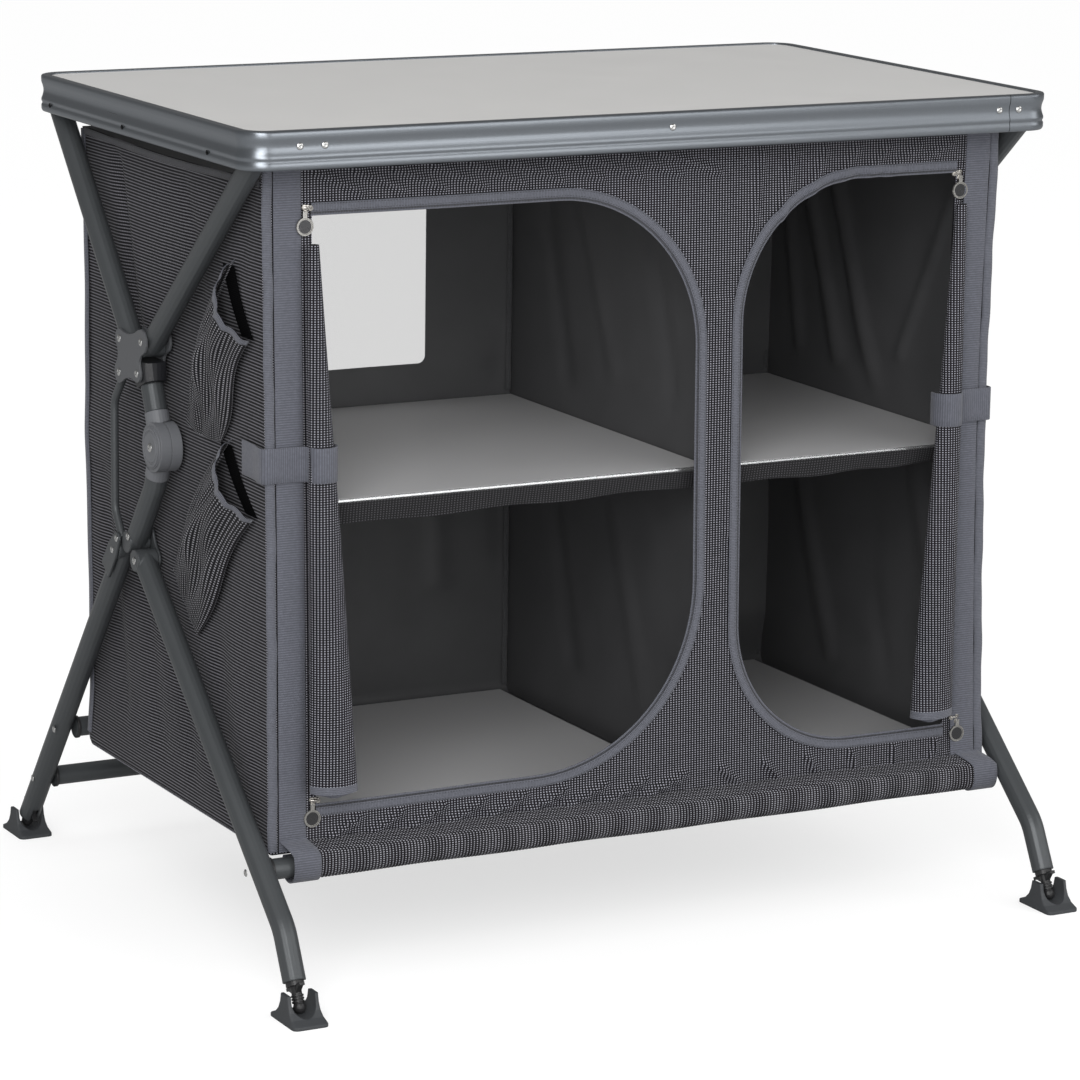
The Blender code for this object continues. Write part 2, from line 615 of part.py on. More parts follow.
def knees():
    """Upper and lower links with the round locking knee between them."""
    x = FRAME_HALF_WIDTH
    add_pair("knee_outer_half", knee_half(LINK_TOP_PIN, 1), HUB_PLASTIC)
    add_pair("knee_inner_half", knee_half(LINK_BEND, -1), HUB_PLASTIC)
    up = (LINK_TOP_PIN - KNEE_CENTRE).normalized()
    upper = [LINK_TOP_PIN - up * (SADDLE_FOOT + SEAT), KNEE_CENTRE + up * (KNEE_NECK + SEAT)]
    add_pair("upper_link", tube_mesh([at(x, p) for p in upper], TUBE_RADIUS), FRAME_METAL)
    down = (LINK_BEND - KNEE_CENTRE).normalized()
    low = beyond(LINK_LOW_PIN, LINK_BEND, PIN_SETBACK)
    lower = [KNEE_CENTRE + down * (KNEE_NECK + SEAT), LINK_BEND, low]
    path = rounded_path([at(x, p) for p in lower], LINK_BEND_RADIUS, 3)
    add_pair("lower_link", round_end(tube_mesh(path, TUBE_RADIUS), low), FRAME_METAL)


def rods():
    """Thin stay behind each knee, bowed to the rear, pinned inside the outer plates."""
    x = OUTER_PLATE - SEAT - ROD_DIAMETER / 2
    rear = max(ROD_TOP_PIN[0], ROD_LOW_PIN[0]) + ROD_BOW
    path = [at(x, ROD_TOP_PIN), at(x, (rear, ROD_TOP_PIN[1] - ROD_SHOULDER)),
            at(x, (rear, ROD_LOW_PIN[1] + ROD_HEEL)), at(x, ROD_LOW_PIN)]
    add_pair("stay_rod", tube_mesh(rounded_path(path, ROD_BEND_RADIUS, 4), ROD_DIAMETER / 2, 3),
             FRAME_METAL)


def lower_hubs():
    """Inner plate that gathers the legs and the lower link, and the fork on each rear leg."""
    plate = lobed_outline([(FRONT_LEG_PIN, LOWER_LOBE, LOWER_HOLLOW),
                           (REAR_LEG_PIN, LOWER_LOBE, LOWER_HOLLOW),
                           (LINK_LOW_PIN, LOWER_LOBE, LOWER_HOLLOW)])
    add_pair("lower_inner_plate", slab_mesh([plate], PLATE_THICKNESS, side_plane(INNER_PLATE)),
             FRAME_METAL)
    way = (REAR_LEG_END - REAR_LEG_PIN).normalized()
    side = Vector((-way[1], way[0]))
    skirt = REAR_LEG_PIN + way * FORK_SKIRT
    fork = [skirt - side * FORK_HALF, skirt + side * FORK_HALF, REAR_LEG_PIN + side * FORK_HALF]
    fork += sweep_arc(ROD_LOW_PIN, FORK_TIP, side, -side, 6)
    fork.append(REAR_LEG_PIN - side * FORK_HALF)
    add_pair("leg_fork", slab_mesh([fork], PLATE_THICKNESS, side_plane(OUTER_PLATE)), FRAME_METAL)


def leg(name, path, bore_depth, slot_depth):
    """A leg tube, rounded at its pin, bored and slotted at its foot for the adjuster."""
    x = FRAME_HALF_WIDTH
    tube = tube_mesh(rounded_path([at(x, p) for p in path], LEG_BEND_RADIUS, 5), TUBE_RADIUS)
    end, way = path[-1], (path[-1] - path[-2]).normalized()
    side = Vector((-way[1], way[0])) * TUBE_DIAMETER
    tools = [rod_mesh(at(x, end - way * bore_depth), at(x, end + way * TUBE_RADIUS),
                      TUBE_RADIUS - TUBE_WALL)]
    if slot_depth:
        start, stop = end - way * slot_depth, end + way * TUBE_RADIUS
        slot = [start - side, start + side, stop + side, stop - side]
        tools.append(slab_mesh([slot], SLOT_WIDTH, side_plane(x - SLOT_WIDTH / 2)))
    add_pair(name, round_end(combine(tube, tools, "DIFFERENCE"), path[0]), FRAME_METAL)


def legs():
    """Front legs with their kicked-out ends, straight rear legs."""
    leg("front_leg", [FRONT_LEG_PIN, FRONT_LEG_BEND, FRONT_LEG_END], BORE_DEPTH_FRONT, 0)
    rear_top = beyond(REAR_LEG_PIN, REAR_LEG_END, LEG_SETBACK)
    leg("rear_leg", [rear_top, REAR_LEG_END], BORE_DEPTH_REAR, SLOT_DEPTH)


def bars():
    """Cross bars between the legs, and the cloth sleeve on the front one."""
    reach = FRAME_HALF_WIDTH - TUBE_RADIUS - SEAT
    for name, place in (("front_bar", FRONT_BAR), ("rear_upper_bar", REAR_UPPER_BAR),
                        ("rear_lower_bar", REAR_LOWER_BAR)):
        add_part(name, rod_mesh(at(-reach, place), at(reach, place), BAR_RADIUS, 20), FRAME_METAL)
    ring = arc(FRONT_BAR, SLEEVE_RADIUS, 0, 345, 23)
    hole = arc(FRONT_BAR, BAR_RADIUS + SEAT, 0, 345, 23)
    add_part("front_bar_sleeve",
             slab_mesh([ring, hole], SLEEVE_END - SLEEVE_START, side_plane(SLEEVE_START)),
             CABINET_CLOTH)


def foot(name, path, wing_drop):
    """Adjuster stem with its wings, neck and ball, and the pad that swivels on the ball."""
    x = FRAME_HALF_WIDTH
    way = (path[-1] - path[-2]).normalized()
    side = Vector((-way[1], way[0]))
    wings = path[-1] + way * wing_drop
    ball = wings + way * BALL_DROP
    stem = rod_mesh(at(x, wings - way * STEM_LENGTH), at(x, wings + way * STEM_FOOT),
                    TUBE_RADIUS - TUBE_WALL - RUNNING)
    half = [(WING_HALF, 0), (WING_HALF, WING_EDGE), (WING_KNEE_HALF, WING_EDGE),
            (WING_ROOT_HALF, WING_ROOT)]
    outline = [wings + side * across + way * along for across, along in half]
    outline += [wings - side * across + way * along for across, along in half[::-1]]
    tools = [rod_mesh(at(x, wings), at(x, ball), NECK_DIAMETER / 2, 12), ball_mesh(at(x, ball)),
             slab_mesh([outline], WING_WIDTH, side_plane(x - WING_WIDTH / 2))]
    add_pair(name + "_adjuster", combine(stem, tools, "UNION"), BLACK_PLASTIC)
    add_pair(name + "_pad", pad_mesh(x, ball), PAD_PLASTIC)


def ball_mesh(centre):
    """The ball at the foot of an adjuster."""
    work = bmesh.new()
    bmesh.ops.create_uvsphere(work, u_segments=14, v_segments=8, radius=BALL_DIAMETER / 2,
                              matrix=Matrix.Translation(centre))
    mesh = bpy.data.meshes.new("ball")
    work.to_mesh(mesh)
    work.free()
    return mesh


def pad_mesh(x, ball):
    """A flared pad: its sides draw in to two ears, with a round cradle between for the ball."""
    base_length = PAD_RINGS[0][2]
    top = PAD_RINGS[-1][0]
    work = bmesh.new()
    loops = []
    for height, wide, long in PAD_RINGS:
        outline = rounded_box(-wide, wide, -long, long, [PAD_CORNER * long / base_length] * 4, steps=3)
        loops.append([work.verts.new((x + p[0], ball[0] + p[1], height)) for p in outline])
    skin(work, loops)
    mesh = bpy.data.meshes.new("pad")
    work.to_mesh(mesh)
    work.free()
    middle = ball[1] - BALL_DIAMETER / 2 - SEAT + PAD_CRADLE
    cradle = arc((x, middle), PAD_CRADLE, 180, 360, 12)
    cradle += [Vector((x + PAD_CRADLE, top * 2)), Vector((x - PAD_CRADLE, top * 2))]
    cut = slab_mesh([cradle], 2 * base_length, front_plane(ball[0] + base_length))
    return combine(mesh, [cut], "DIFFERENCE")


def skin(work, loops):
    """Faces between rings of as many points, and a cap at each end, facing out."""
    for low, high in zip(loops, loops[1:]):
        for index in range(len(low)):
            following = (index + 1) % len(low)
            work.faces.new((low[index], low[following], high[following], high[index]))
    work.faces.new(loops[0])
    work.faces.new(loops[-1])
    bmesh.ops.recalc_face_normals(work, faces=work.faces)


def feet():
    """Front feet stand further out of their tubes than the rear ones."""
    foot("front", [FRONT_LEG_BEND, FRONT_LEG_END], FRONT_WING_DROP)
    foot("rear", [REAR_LEG_PIN, REAR_LEG_END], REAR_WING_DROP)


def front_y(z):
    """Outer face of the leaning front at a height."""
    return FRONT_TOP_Y + FRONT_LEAN * (CABINET_TOP - z)


def leaning(outlines, clearance):
    """A cloth slab (x, z) that leans with the front, its back at a clearance before the face."""
    mesh = slab_mesh(outlines, CLOTH, front_plane(0.0))
    lean = Matrix.Identity(4)
    lean[1][2] = -FRONT_LEAN
    lean[1][3] = FRONT_TOP_Y - clearance + FRONT_LEAN * CABINET_TOP
    mesh.transform(lean)
    return mesh


def front_panel():
    """The leaning cloth front with its two round-cornered door openings."""
    hem = FRONT_BAR[1] + math.sqrt((SLEEVE_RADIUS + SEAT) ** 2 - FRONT_SETBACK ** 2)
    half = CABINET_HALF_WIDTH
    soft = OPENING_SOFT_CORNER
    outline = rounded_box(-half, half, hem, CABINET_TOP, [HEM_CORNER] * 4, steps=2)
    left = rounded_box(*LEFT_OPENING, [soft, OPENING_BOTTOM_RADIUS, OPENING_TOP_RADIUS, soft], 12)
    right = rounded_box(*RIGHT_OPENING, [SMALL_BOTTOM_RADIUS, soft, soft, SMALL_TOP_RADIUS], 12)
    add_part("front_panel", leaning([outline, left, right], -CLOTH), CABINET_CLOTH)


def side_outline():
    """Side of the cabinet as (y, z), with its slack upper edge and round lower rear corner."""
    gap = CLOTH + SEAT
    low = CABINET_FLOOR + gap
    rear = CABINET_BACK - gap
    radius = BACK_CORNER - gap
    outline = [Vector((front_y(low) + gap, low))]
    outline += arc((rear - radius, low + radius), radius, 270, 360, 4)
    front_top = front_y(CABINET_TOP) + gap
    for step in range(9):
        share = step / 8
        y = rear + (front_top - rear) * share
        outline.append(Vector((y, CABINET_TOP - SIDE_SAG * math.sin(math.pi * share))))
    return outline


def back_outline():
    """Section (y, z) of the cloth that makes the floor, turns up and makes the back."""
    inner = BACK_CORNER - CLOTH
    turn = (CABINET_BACK - BACK_CORNER, CABINET_FLOOR + BACK_CORNER)
    front = front_y(CABINET_FLOOR) + CLOTH + SEAT
    outline = [Vector((front, CABINET_FLOOR))]
    outline += arc(turn, BACK_CORNER, 270, 360, 5)
    outline += [Vector((CABINET_BACK, CABINET_TOP)), Vector((CABINET_BACK - CLOTH, CABINET_TOP))]
    outline += arc(turn, inner, 360, 270, 5)
    outline.append(Vector((front, CABINET_FLOOR + CLOTH)))
    return outline


def ledge(wall, inward):
    """Strip sewn to a wall, on which a shelf lies."""
    top = SHELF_TOP - SHELF_THICKNESS - SEAT
    sewn, edge = sorted((wall - inward * SEAM_BITE, wall + inward * LEDGE_WIDTH))
    return box_mesh((sewn, SHELF_FRONT + LEDGE_INSET, top - LEDGE_HEIGHT),
                    (edge, SHELF_REAR - LEDGE_INSET, top))


def pocket(mouth, bottom):
    """A pocket's face: cloth between its slanted mouth and its bottom seam."""
    rear_top, front_top = mouth
    outline = [Vector((POCKET_FRONT, bottom)), Vector((POCKET_REAR - POCKET_TAPER, bottom)),
               Vector((POCKET_REAR, (bottom + rear_top[1]) / 2)), rear_top,
               (rear_top + front_top) / 2 - Vector((0, POCKET_SAG)), front_top,
               Vector((POCKET_FRONT, front_top[1]))]
    x = -CABINET_HALF_WIDTH - POCKET_THICKNESS
    return slab_mesh([outline], POCKET_THICKNESS + SEAM_BITE, side_plane(x))


def cloth_walls():
    """Sides, divider, and the back with the floor and its window."""
    half = CABINET_HALF_WIDTH
    right = slab_mesh([side_outline()], CLOTH, side_plane(half - CLOTH))
    left = mirrored(right)
    right = combine(right, [ledge(half - CLOTH, -1)], "UNION")
    pockets = [pocket(UPPER_MOUTH, LOWER_MOUTH[0][1] + POCKET_LAP), pocket(LOWER_MOUTH, POCKET_BOTTOM)]
    left = combine(left, [ledge(-half + CLOTH, 1)] + pockets, "UNION")
    add_part("right_side_panel", right, CABINET_CLOTH)
    add_part("left_side_panel", left, CABINET_CLOTH)

    divider = slab_mesh([side_outline()], CLOTH, side_plane(DIVIDER_X - CLOTH / 2))
    ledges = [ledge(DIVIDER_X - CLOTH / 2, -1), ledge(DIVIDER_X + CLOTH / 2, 1)]
    add_part("divider_panel", combine(divider, ledges, "UNION"), CABINET_CLOTH)

    back = slab_mesh([back_outline()], 2 * half, side_plane(-half))
    pane = rounded_box(WINDOW_LEFT, WINDOW_RIGHT, WINDOW_BOTTOM, WINDOW_TOP, [WINDOW_RADIUS] * 4, 4)
    outside = CABINET_BACK + CLOTH
    recess = slab_mesh([pane], CLOTH + WINDOW_RECESS, front_plane(outside))
    add_part("back_panel", combine(back, [recess], "DIFFERENCE"), CABINET_CLOTH)


def shelves():
    """Loose boards: one on the ledges and one on the cabinet's floor, on each side."""
    levels = {"shelf": (SHELF_TOP - SHELF_THICKNESS, SHELF_REAR, 0),
              "floor_board": (CABINET_FLOOR + CLOTH + SEAT, CABINET_BACK - BACK_CORNER,
                              FLOOR_BOARD_PLAY)}
    for side, (start, end) in SHELF_SPANS.items():
        for kind, (low, rear, play) in levels.items():
            board = box_mesh((start + play, SHELF_FRONT, low),
                             (end - play, rear, low + SHELF_THICKNESS), SHELF_EDGE_RADIUS)
            add_part(f"{side}_{kind}", board, SHELF_BOARD)


def door_roll(name, middles, sewn):
    """A door rolled up along its opening: a cone of cloth, with the edge that is sewn to the front."""
    stations, sides = 7, 16
    work = bmesh.new()
    loops = []
    for step in range(stations):
        share = step / (stations - 1)
        z = ROLL_TOP_Z + (ROLL_BOTTOM_Z - ROLL_TOP_Z) * share
        wide = ROLL_TOP_SIZE[0] + (ROLL_BOTTOM_SIZE[0] - ROLL_TOP_SIZE[0]) * share
        deep = ROLL_TOP_SIZE[1] + (ROLL_BOTTOM_SIZE[1] - ROLL_TOP_SIZE[1]) * share
        x = middles[0] + (middles[1] - middles[0]) * share
        y = front_y(z) - SEAT - deep / 2
        turns = [2 * math.pi * side / sides for side in range(sides)]
        loops.append([work.verts.new((x + wide / 2 * math.cos(a), y + deep / 2 * math.sin(a), z))
                      for a in turns])
    skin(work, loops)
    mesh = bpy.data.meshes.new("roll")
    work.to_mesh(mesh)
    work.free()
    edge = [Vector((sewn, ROLL_BOTTOM_Z)), Vector((middles[1], ROLL_BOTTOM_Z)),
            Vector((middles[0], ROLL_TOP_Z)), Vector((sewn, ROLL_TOP_Z))]
    add_part(name, combine(mesh, [leaning([edge], SEAT)], "UNION"), CABINET_CLOTH)


def pull_y(z):
    """Middle of a zip pull whose hinge is at height z: its ring just clears the leaning front."""
    return front_y(z - PULL_DROP - RING_RADIUS - RING_WIRE) - SEAT - TAB_THICKNESS / 2


def zip_pull(name, x, z):
    """A slider's pull: a short tab with a plain disc in a round ring, hinged at its top."""
    middle = z - PULL_DROP
    y = pull_y(z)
    bpy.ops.mesh.primitive_torus_add(major_radius=RING_RADIUS, minor_radius=RING_WIRE,
                                     major_segments=20, minor_segments=6,
                                     rotation=(math.pi / 2, 0, 0), location=(x, y, middle))
    ring = mesh_of(bpy.context.object)
    tab = box_mesh((x - TAB_WIDTH / 2, y - TAB_THICKNESS / 2, middle + RING_RADIUS - RING_WIRE / 2),
                   (x + TAB_WIDTH / 2, y + TAB_THICKNESS / 2, z + TAB_ABOVE), TAB_EASE)
    half = Vector((0, DISC_THICKNESS / 2, 0))
    centre = Vector((x, y, middle))
    disc = rod_mesh(centre - half, centre + half, RING_RADIUS, 20)
    add_part(name, combine(ring, [disc, tab], "UNION"), ZIP_METAL)


def hang(child, carrier):
    """Parent one object to another where it stands."""
    bpy.context.view_layer.update()
    child.parent = carrier
    child.matrix_parent_inverse = carrier.matrix_world.inverted()


def pivot(name, place, pieces, carrier=None):
    """An empty on a joint's axis, with the pieces that move there; it may ride on another one."""
    empty = bpy.data.objects.new(name, None)
    empty.empty_display_size = TUBE_DIAMETER
    empty.location = place
    parts.objects.link(empty)
    if carrier:
        hang(empty, carrier)
    for piece in pieces:
        hang(bpy.data.objects[piece], empty)
    return empty


def pivots():
    """Every joint of the unit: the frame's fold, the lift-off pieces, the feet and the zip pulls."""
    fold = {}
    fold["front"] = pivot("frame_fold", at(0, FRONT_LEG_PIN),
                          ["left_front_leg", "right_front_leg", "front_bar", "front_bar_sleeve"])
    fold["rear"] = pivot("rear_leg_fold", at(0, REAR_LEG_PIN),
                         ["left_rear_leg", "right_rear_leg", "left_leg_fork", "right_leg_fork",
                          "rear_upper_bar", "rear_lower_bar"])
    pivot("table_lift", (0, TABLE_Y, TABLE_HEIGHT),
          ["table_panel", "table_rim", "front_brace", "middle_brace", "rear_brace"])
    feet_ends = {"front": (FRONT_LEG_BEND, FRONT_LEG_END, FRONT_WING_DROP),
                 "rear": (REAR_LEG_PIN, REAR_LEG_END, REAR_WING_DROP)}
    for side, x in (("left", -FRAME_HALF_WIDTH), ("right", FRAME_HALF_WIDTH)):
        pivot(f"{side}_front_arm_fold", at(x, FRONT_ARM_PIN), [f"{side}_front_arm"])
        pivot(f"{side}_rear_arm_fold", at(x, REAR_ARM_PIN), [f"{side}_rear_arm"])
        for board in ("shelf", "floor_board"):
            pivot(f"{side}_{board}_lift", (sum(SHELF_SPANS[side]) / 2, 0, SHELF_TOP), [f"{side}_{board}"])
        for row, (start, end, wing_drop) in feet_ends.items():
            ball = end + (end - start).normalized() * (wing_drop + BALL_DROP)
            slide = pivot(f"{side}_{row}_foot_slide", at(x, end), [f"{side}_{row}_adjuster"], fold[row])
            pivot(f"{side}_{row}_pad_swivel", at(x, ball), [f"{side}_{row}_pad"], slide)
    for pull, (x, z) in ZIP_PULLS.items():
        pivot(pull + "_swing", (x, pull_y(z), z), [pull])


table_top()
arm("front_arm", FRONT_ARM_PIN, FRONT_ARM_TOP)
arm("rear_arm", REAR_ARM_PIN, REAR_ARM_TOP)
hubs()
knees()
rods()
lower_hubs()
legs()
bars()
feet()
front_panel()
cloth_walls()
shelves()
door_roll("left_door_roll", LEFT_ROLL, LEFT_OPENING[0] - DOOR_LAP)
door_roll("right_door_roll", RIGHT_ROLL, RIGHT_OPENING[1] + DOOR_LAP)
for pull_name, (pull_x, pull_z) in ZIP_PULLS.items():
    zip_pull(pull_name, pull_x, pull_z)
pivots()
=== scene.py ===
"""Looks of the camp kitchen unit: the finishes of its table top, tube frame, feet and boards, and
its cloth cabinet with webbing, zips, straps, pockets and rolled-up doors.

Metres, +Z up, the front faces -Y. Sections follow the unit as it is put together.
"""
import math

import bpy
import numpy as np
from mathutils import Matrix, Vector
from mathutils.geometry import delaunay_2d_cdt


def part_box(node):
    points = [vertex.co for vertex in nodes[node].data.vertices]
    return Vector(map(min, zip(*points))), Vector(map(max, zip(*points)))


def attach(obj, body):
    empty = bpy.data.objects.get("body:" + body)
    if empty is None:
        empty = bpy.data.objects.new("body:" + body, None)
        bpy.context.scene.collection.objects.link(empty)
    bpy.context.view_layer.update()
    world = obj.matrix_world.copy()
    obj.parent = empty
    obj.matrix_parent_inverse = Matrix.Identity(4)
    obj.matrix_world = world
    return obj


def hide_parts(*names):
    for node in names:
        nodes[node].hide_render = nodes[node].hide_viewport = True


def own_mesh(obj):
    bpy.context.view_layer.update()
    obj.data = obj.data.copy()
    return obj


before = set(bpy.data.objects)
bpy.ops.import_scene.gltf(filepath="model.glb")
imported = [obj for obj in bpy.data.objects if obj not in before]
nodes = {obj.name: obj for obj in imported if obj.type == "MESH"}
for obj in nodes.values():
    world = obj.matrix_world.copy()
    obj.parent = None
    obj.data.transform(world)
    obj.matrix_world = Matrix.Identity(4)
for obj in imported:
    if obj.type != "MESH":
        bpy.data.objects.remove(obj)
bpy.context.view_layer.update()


# The camera stands in front of the left corner, slightly above the top, with a long lens, as the
# photograph's did.
CAMERA_PLACE = Vector((-2.0112, -3.7916, 1.2926))
CAMERA_RIGHT = Vector((0.88377, -0.46770, 0.01448))
CAMERA_BACK = Vector((-0.45952, -0.86165, 0.21540))
LENS, SENSOR = 144.7, 36.0      # mm


def placed(name, data):
    """A new object in the scene."""
    piece = bpy.data.objects.new(name, data)
    bpy.context.collection.objects.link(piece)
    return piece


camera_data = bpy.data.cameras.new("camera")
camera_data.lens = LENS
camera_data.sensor_width = SENSOR
camera_data.sensor_fit = "HORIZONTAL"
camera = placed("camera", camera_data)
camera_up = CAMERA_BACK.cross(CAMERA_RIGHT)
camera_turn = Matrix((CAMERA_RIGHT, camera_up, CAMERA_BACK)).transposed().to_4x4()
camera.matrix_world = Matrix.Translation(CAMERA_PLACE) @ camera_turn
bpy.context.scene.camera = camera
bpy.context.scene.view_settings.view_transform = "Standard"


# The studio is a white floor under an even white sky, with one large soft lamp from the front left,
# a weaker one from the right, a wide one in front that shines along the rim, and a low one that
# reaches into the compartments. The camera sees pure white; mirrors see a dim room with the lamps.
SKY_LIGHT = 0.86
SKY_IN_MIRRORS = 0.19
FLOOR_LIFT = 0.62
FLOOR_PAINT = 0.42
LAMPS = {"key_lamp": ((-2.4, -3.0, 3.0), 2.0, 56.0),       # place, size, watts
         "side_lamp": ((3.2, -2.2, 2.0), 2.0, 22.0),
         "front_lamp": ((1.10, -4.0, 1.40), 2.3, 38.0),
         "fill_lamp": ((-2.30, -4.0, 1.45), 2.8, 96.0)}
LAMP_TARGET = Vector((0, 0, 0.4))
FLOOR_HALF = 14.0


def wire(tree, kind, inputs=None, **settings):
    """Add one node; each input is a value or another node's output."""
    made = tree.nodes.new(kind)
    for name, value in settings.items():
        setattr(made, name, value)
    for name, value in (inputs or {}).items():
        if isinstance(value, bpy.types.NodeSocket):
            tree.links.new(value, made.inputs[name])
        else:
            made.inputs[name].default_value = value
    return made


def maths(tree, operation, *values, **settings):
    """The outcome of a maths node on one or two values."""
    return wire(tree, "ShaderNodeMath", dict(enumerate(values)), operation=operation,
                **settings).outputs[0]


def between(tree, share, low, high):
    """A number that runs from low to high with a share."""
    return wire(tree, "ShaderNodeMapRange", {"Value": share, "To Min": low, "To Max": high}).outputs[0]


def seen_directly(tree):
    """1 for rays from the camera, also through clear film, 0 for the light that falls on the object."""
    path = wire(tree, "ShaderNodeLightPath").outputs
    return maths(tree, "MAXIMUM", path["Is Camera Ray"], path["Is Transmission Ray"])


sky = bpy.data.worlds.new("studio_sky")
bpy.context.scene.world = sky
sky.use_nodes = True
sky_tree = sky.node_tree
sky_mirrored = between(sky_tree, wire(sky_tree, "ShaderNodeLightPath").outputs["Is Glossy Ray"],
                       SKY_LIGHT, SKY_IN_MIRRORS)
background = sky_tree.nodes["Background"]
background.inputs["Color"].default_value = (1.0, 1.0, 1.0, 1.0)
sky_tree.links.new(between(sky_tree, seen_directly(sky_tree), sky_mirrored, 1.0),
                   background.inputs["Strength"])

floor_paint = bpy.data.materials.new("studio_floor")
floor_paint.use_nodes = True
floor_tree = floor_paint.node_tree
floor_tree.nodes.remove(floor_tree.nodes["Principled BSDF"])
floor_white = wire(floor_tree, "ShaderNodeBsdfDiffuse",
                   {"Color": (FLOOR_PAINT, FLOOR_PAINT, FLOOR_PAINT, 1.0)})
floor_glow = wire(floor_tree, "ShaderNodeEmission",
                  {"Strength": maths(floor_tree, "MULTIPLY", seen_directly(floor_tree), FLOOR_LIFT)})
floor_mix = wire(floor_tree, "ShaderNodeAddShader", {0: floor_white.outputs[0], 1: floor_glow.outputs[0]})
floor_tree.links.new(floor_mix.outputs[0], floor_tree.nodes["Material Output"].inputs["Surface"])
floor_mesh = bpy.data.meshes.new("studio_floor")
floor_mesh.from_pydata([(x * FLOOR_HALF, y * FLOOR_HALF, 0)
                        for x, y in ((-1, -1), (1, -1), (1, 1), (-1, 1))], [], [(0, 1, 2, 3)])
floor_mesh.materials.append(floor_paint)
floor = placed("studio_floor", floor_mesh)

for name, (place, size, watts) in LAMPS.items():
    lamp = bpy.data.lights.new(name, "AREA")
    lamp.size = size
    lamp.energy = watts
    holder = placed(name, lamp)
    holder.location = place
    holder.rotation_euler = (LAMP_TARGET - Vector(place)).to_track_quat("-Z", "Y").to_euler()


# The table board is a flat panel with a pale grey laminate face, satin, with a very fine pebble.
def start_finish(name, roughness, metallic=0.0):
    """A new material with its tree and its shader."""
    made = bpy.data.materials.new(name)
    made.use_nodes = True
    shader = made.node_tree.nodes["Principled BSDF"]
    shader.inputs["Roughness"].default_value = roughness
    shader.inputs["Metallic"].default_value = metallic
    return made, made.node_tree, shader


def own_place(tree):
    """Where each point of a piece lies."""
    return wire(tree, "ShaderNodeTexCoord").outputs["Object"]


def speckle(tree, scale, detail=3.0, place=None):
    """Noise from 0 to 1 on the piece, or on another coordinate."""
    return wire(tree, "ShaderNodeTexNoise", {"Vector": own_place(tree) if place is None else place,
                                             "Scale": scale, "Detail": detail}).outputs["Fac"]


def two_tone(tree, share, low, high):
    """A colour that runs from low to high with a share; low may be another node's output."""
    low = low if isinstance(low, bpy.types.NodeSocket) else (*low, 1.0)
    return wire(tree, "ShaderNodeMix", {0: share, 6: low, 7: (*high, 1.0)}, data_type="RGBA").outputs[2]


def shade(colour, factor):
    """A colour made darker or lighter."""
    return tuple(part * factor for part in colour)


def finish_off(tree, shader, colour, relief, gloss=None, ease=0.0):
    """Wire a finish's colour, its relief (height, strength, depth) and its gloss where that varies.

    An ease lets the relief run round an edge instead of breaking on it.
    """
    tree.links.new(colour, shader.inputs["Base Color"])
    if gloss is not None:
        tree.links.new(gloss, shader.inputs["Roughness"])
    bump = wire(tree, "ShaderNodeBump", dict(zip(("Height", "Strength", "Distance"), relief)))
    if ease:
        round_edge = wire(tree, "ShaderNodeBevel", {"Radius": ease}, samples=6)
        tree.links.new(round_edge.outputs[0], bump.inputs["Normal"])
    tree.links.new(bump.outputs[0], shader.inputs["Normal"])


def grained(name, colour, roughness, metallic, grain, depth, mottle=0.06, cloud=16.0, ease=0.0):
    """A coated, moulded or laminated finish: fine grain, and a slight unevenness of colour and gloss."""
    made, tree, shader = start_finish(name, roughness, metallic)
    uneven = speckle(tree, cloud, 4.0)
    finish_off(tree, shader, two_tone(tree, uneven, shade(colour, 1 - mottle), shade(colour, 1 + mottle)),
               (speckle(tree, grain), 1.0, depth),
               between(tree, uneven, roughness - 0.06, roughness + 0.06), ease)
    return made


def dress(names, finish):
    """Give CAD nodes their finish."""
    for name in names:
        nodes[name].data.materials.clear()
        nodes[name].data.materials.append(finish)


laminate = grained("laminate", (0.572, 0.566, 0.555), 0.42, 0.0, 900.0, 0.00006, mottle=0.015)
dress(["table_panel"], laminate)


# The rim is one fluted aluminium length bent round the board, dark anodised and lightly brushed
# along its length. Three plain tubes brace the board underneath.
def brushed(name, colour, roughness):
    """Anodised aluminium with faint drawing lines along its length and a fine sparkle."""
    made, tree, shader = start_finish(name, roughness, 0.92)
    along = wire(tree, "ShaderNodeMapping", {"Vector": own_place(tree), "Scale": (6.0, 6.0, 900.0)})
    lines = speckle(tree, 1.0, 5.0, along.outputs[0])
    sparkle = speckle(tree, 1400.0, 2.0)
    finish_off(tree, shader, two_tone(tree, sparkle, shade(colour, 0.86), shade(colour, 1.14)),
               (lines, 0.5, 0.00004), between(tree, lines, roughness - 0.08, roughness + 0.08), 0.0030)
    return made


def overlaid(finish, share, colour):
    """Paint a colour over a finish where a share is 1."""
    tree = finish.node_tree
    base = tree.nodes["Principled BSDF"].inputs["Base Color"]
    tree.links.new(two_tone(tree, share, base.links[0].from_socket, colour), base)


def spliced(finish, x, half, colour):
    """Draw a fine dark joint across the front of a finish at an x."""
    tree = finish.node_tree
    place = wire(tree, "ShaderNodeSeparateXYZ", {0: own_place(tree)}).outputs
    near = maths(tree, "LESS_THAN", maths(tree, "ABSOLUTE", maths(tree, "SUBTRACT", place[0], x)), half)
    overlaid(finish, maths(tree, "MULTIPLY", near, maths(tree, "LESS_THAN", place[1], 0.0)), colour)


SPLICE_X, SPLICE_HALF = 0.3816, 0.00035
rim_metal = brushed("rim_metal", (0.232, 0.251, 0.274), 0.31)
spliced(rim_metal, SPLICE_X, SPLICE_HALF, (0.004, 0.004, 0.004))
dress(["table_rim", "front_brace", "middle_brace", "rear_brace"], rim_metal)

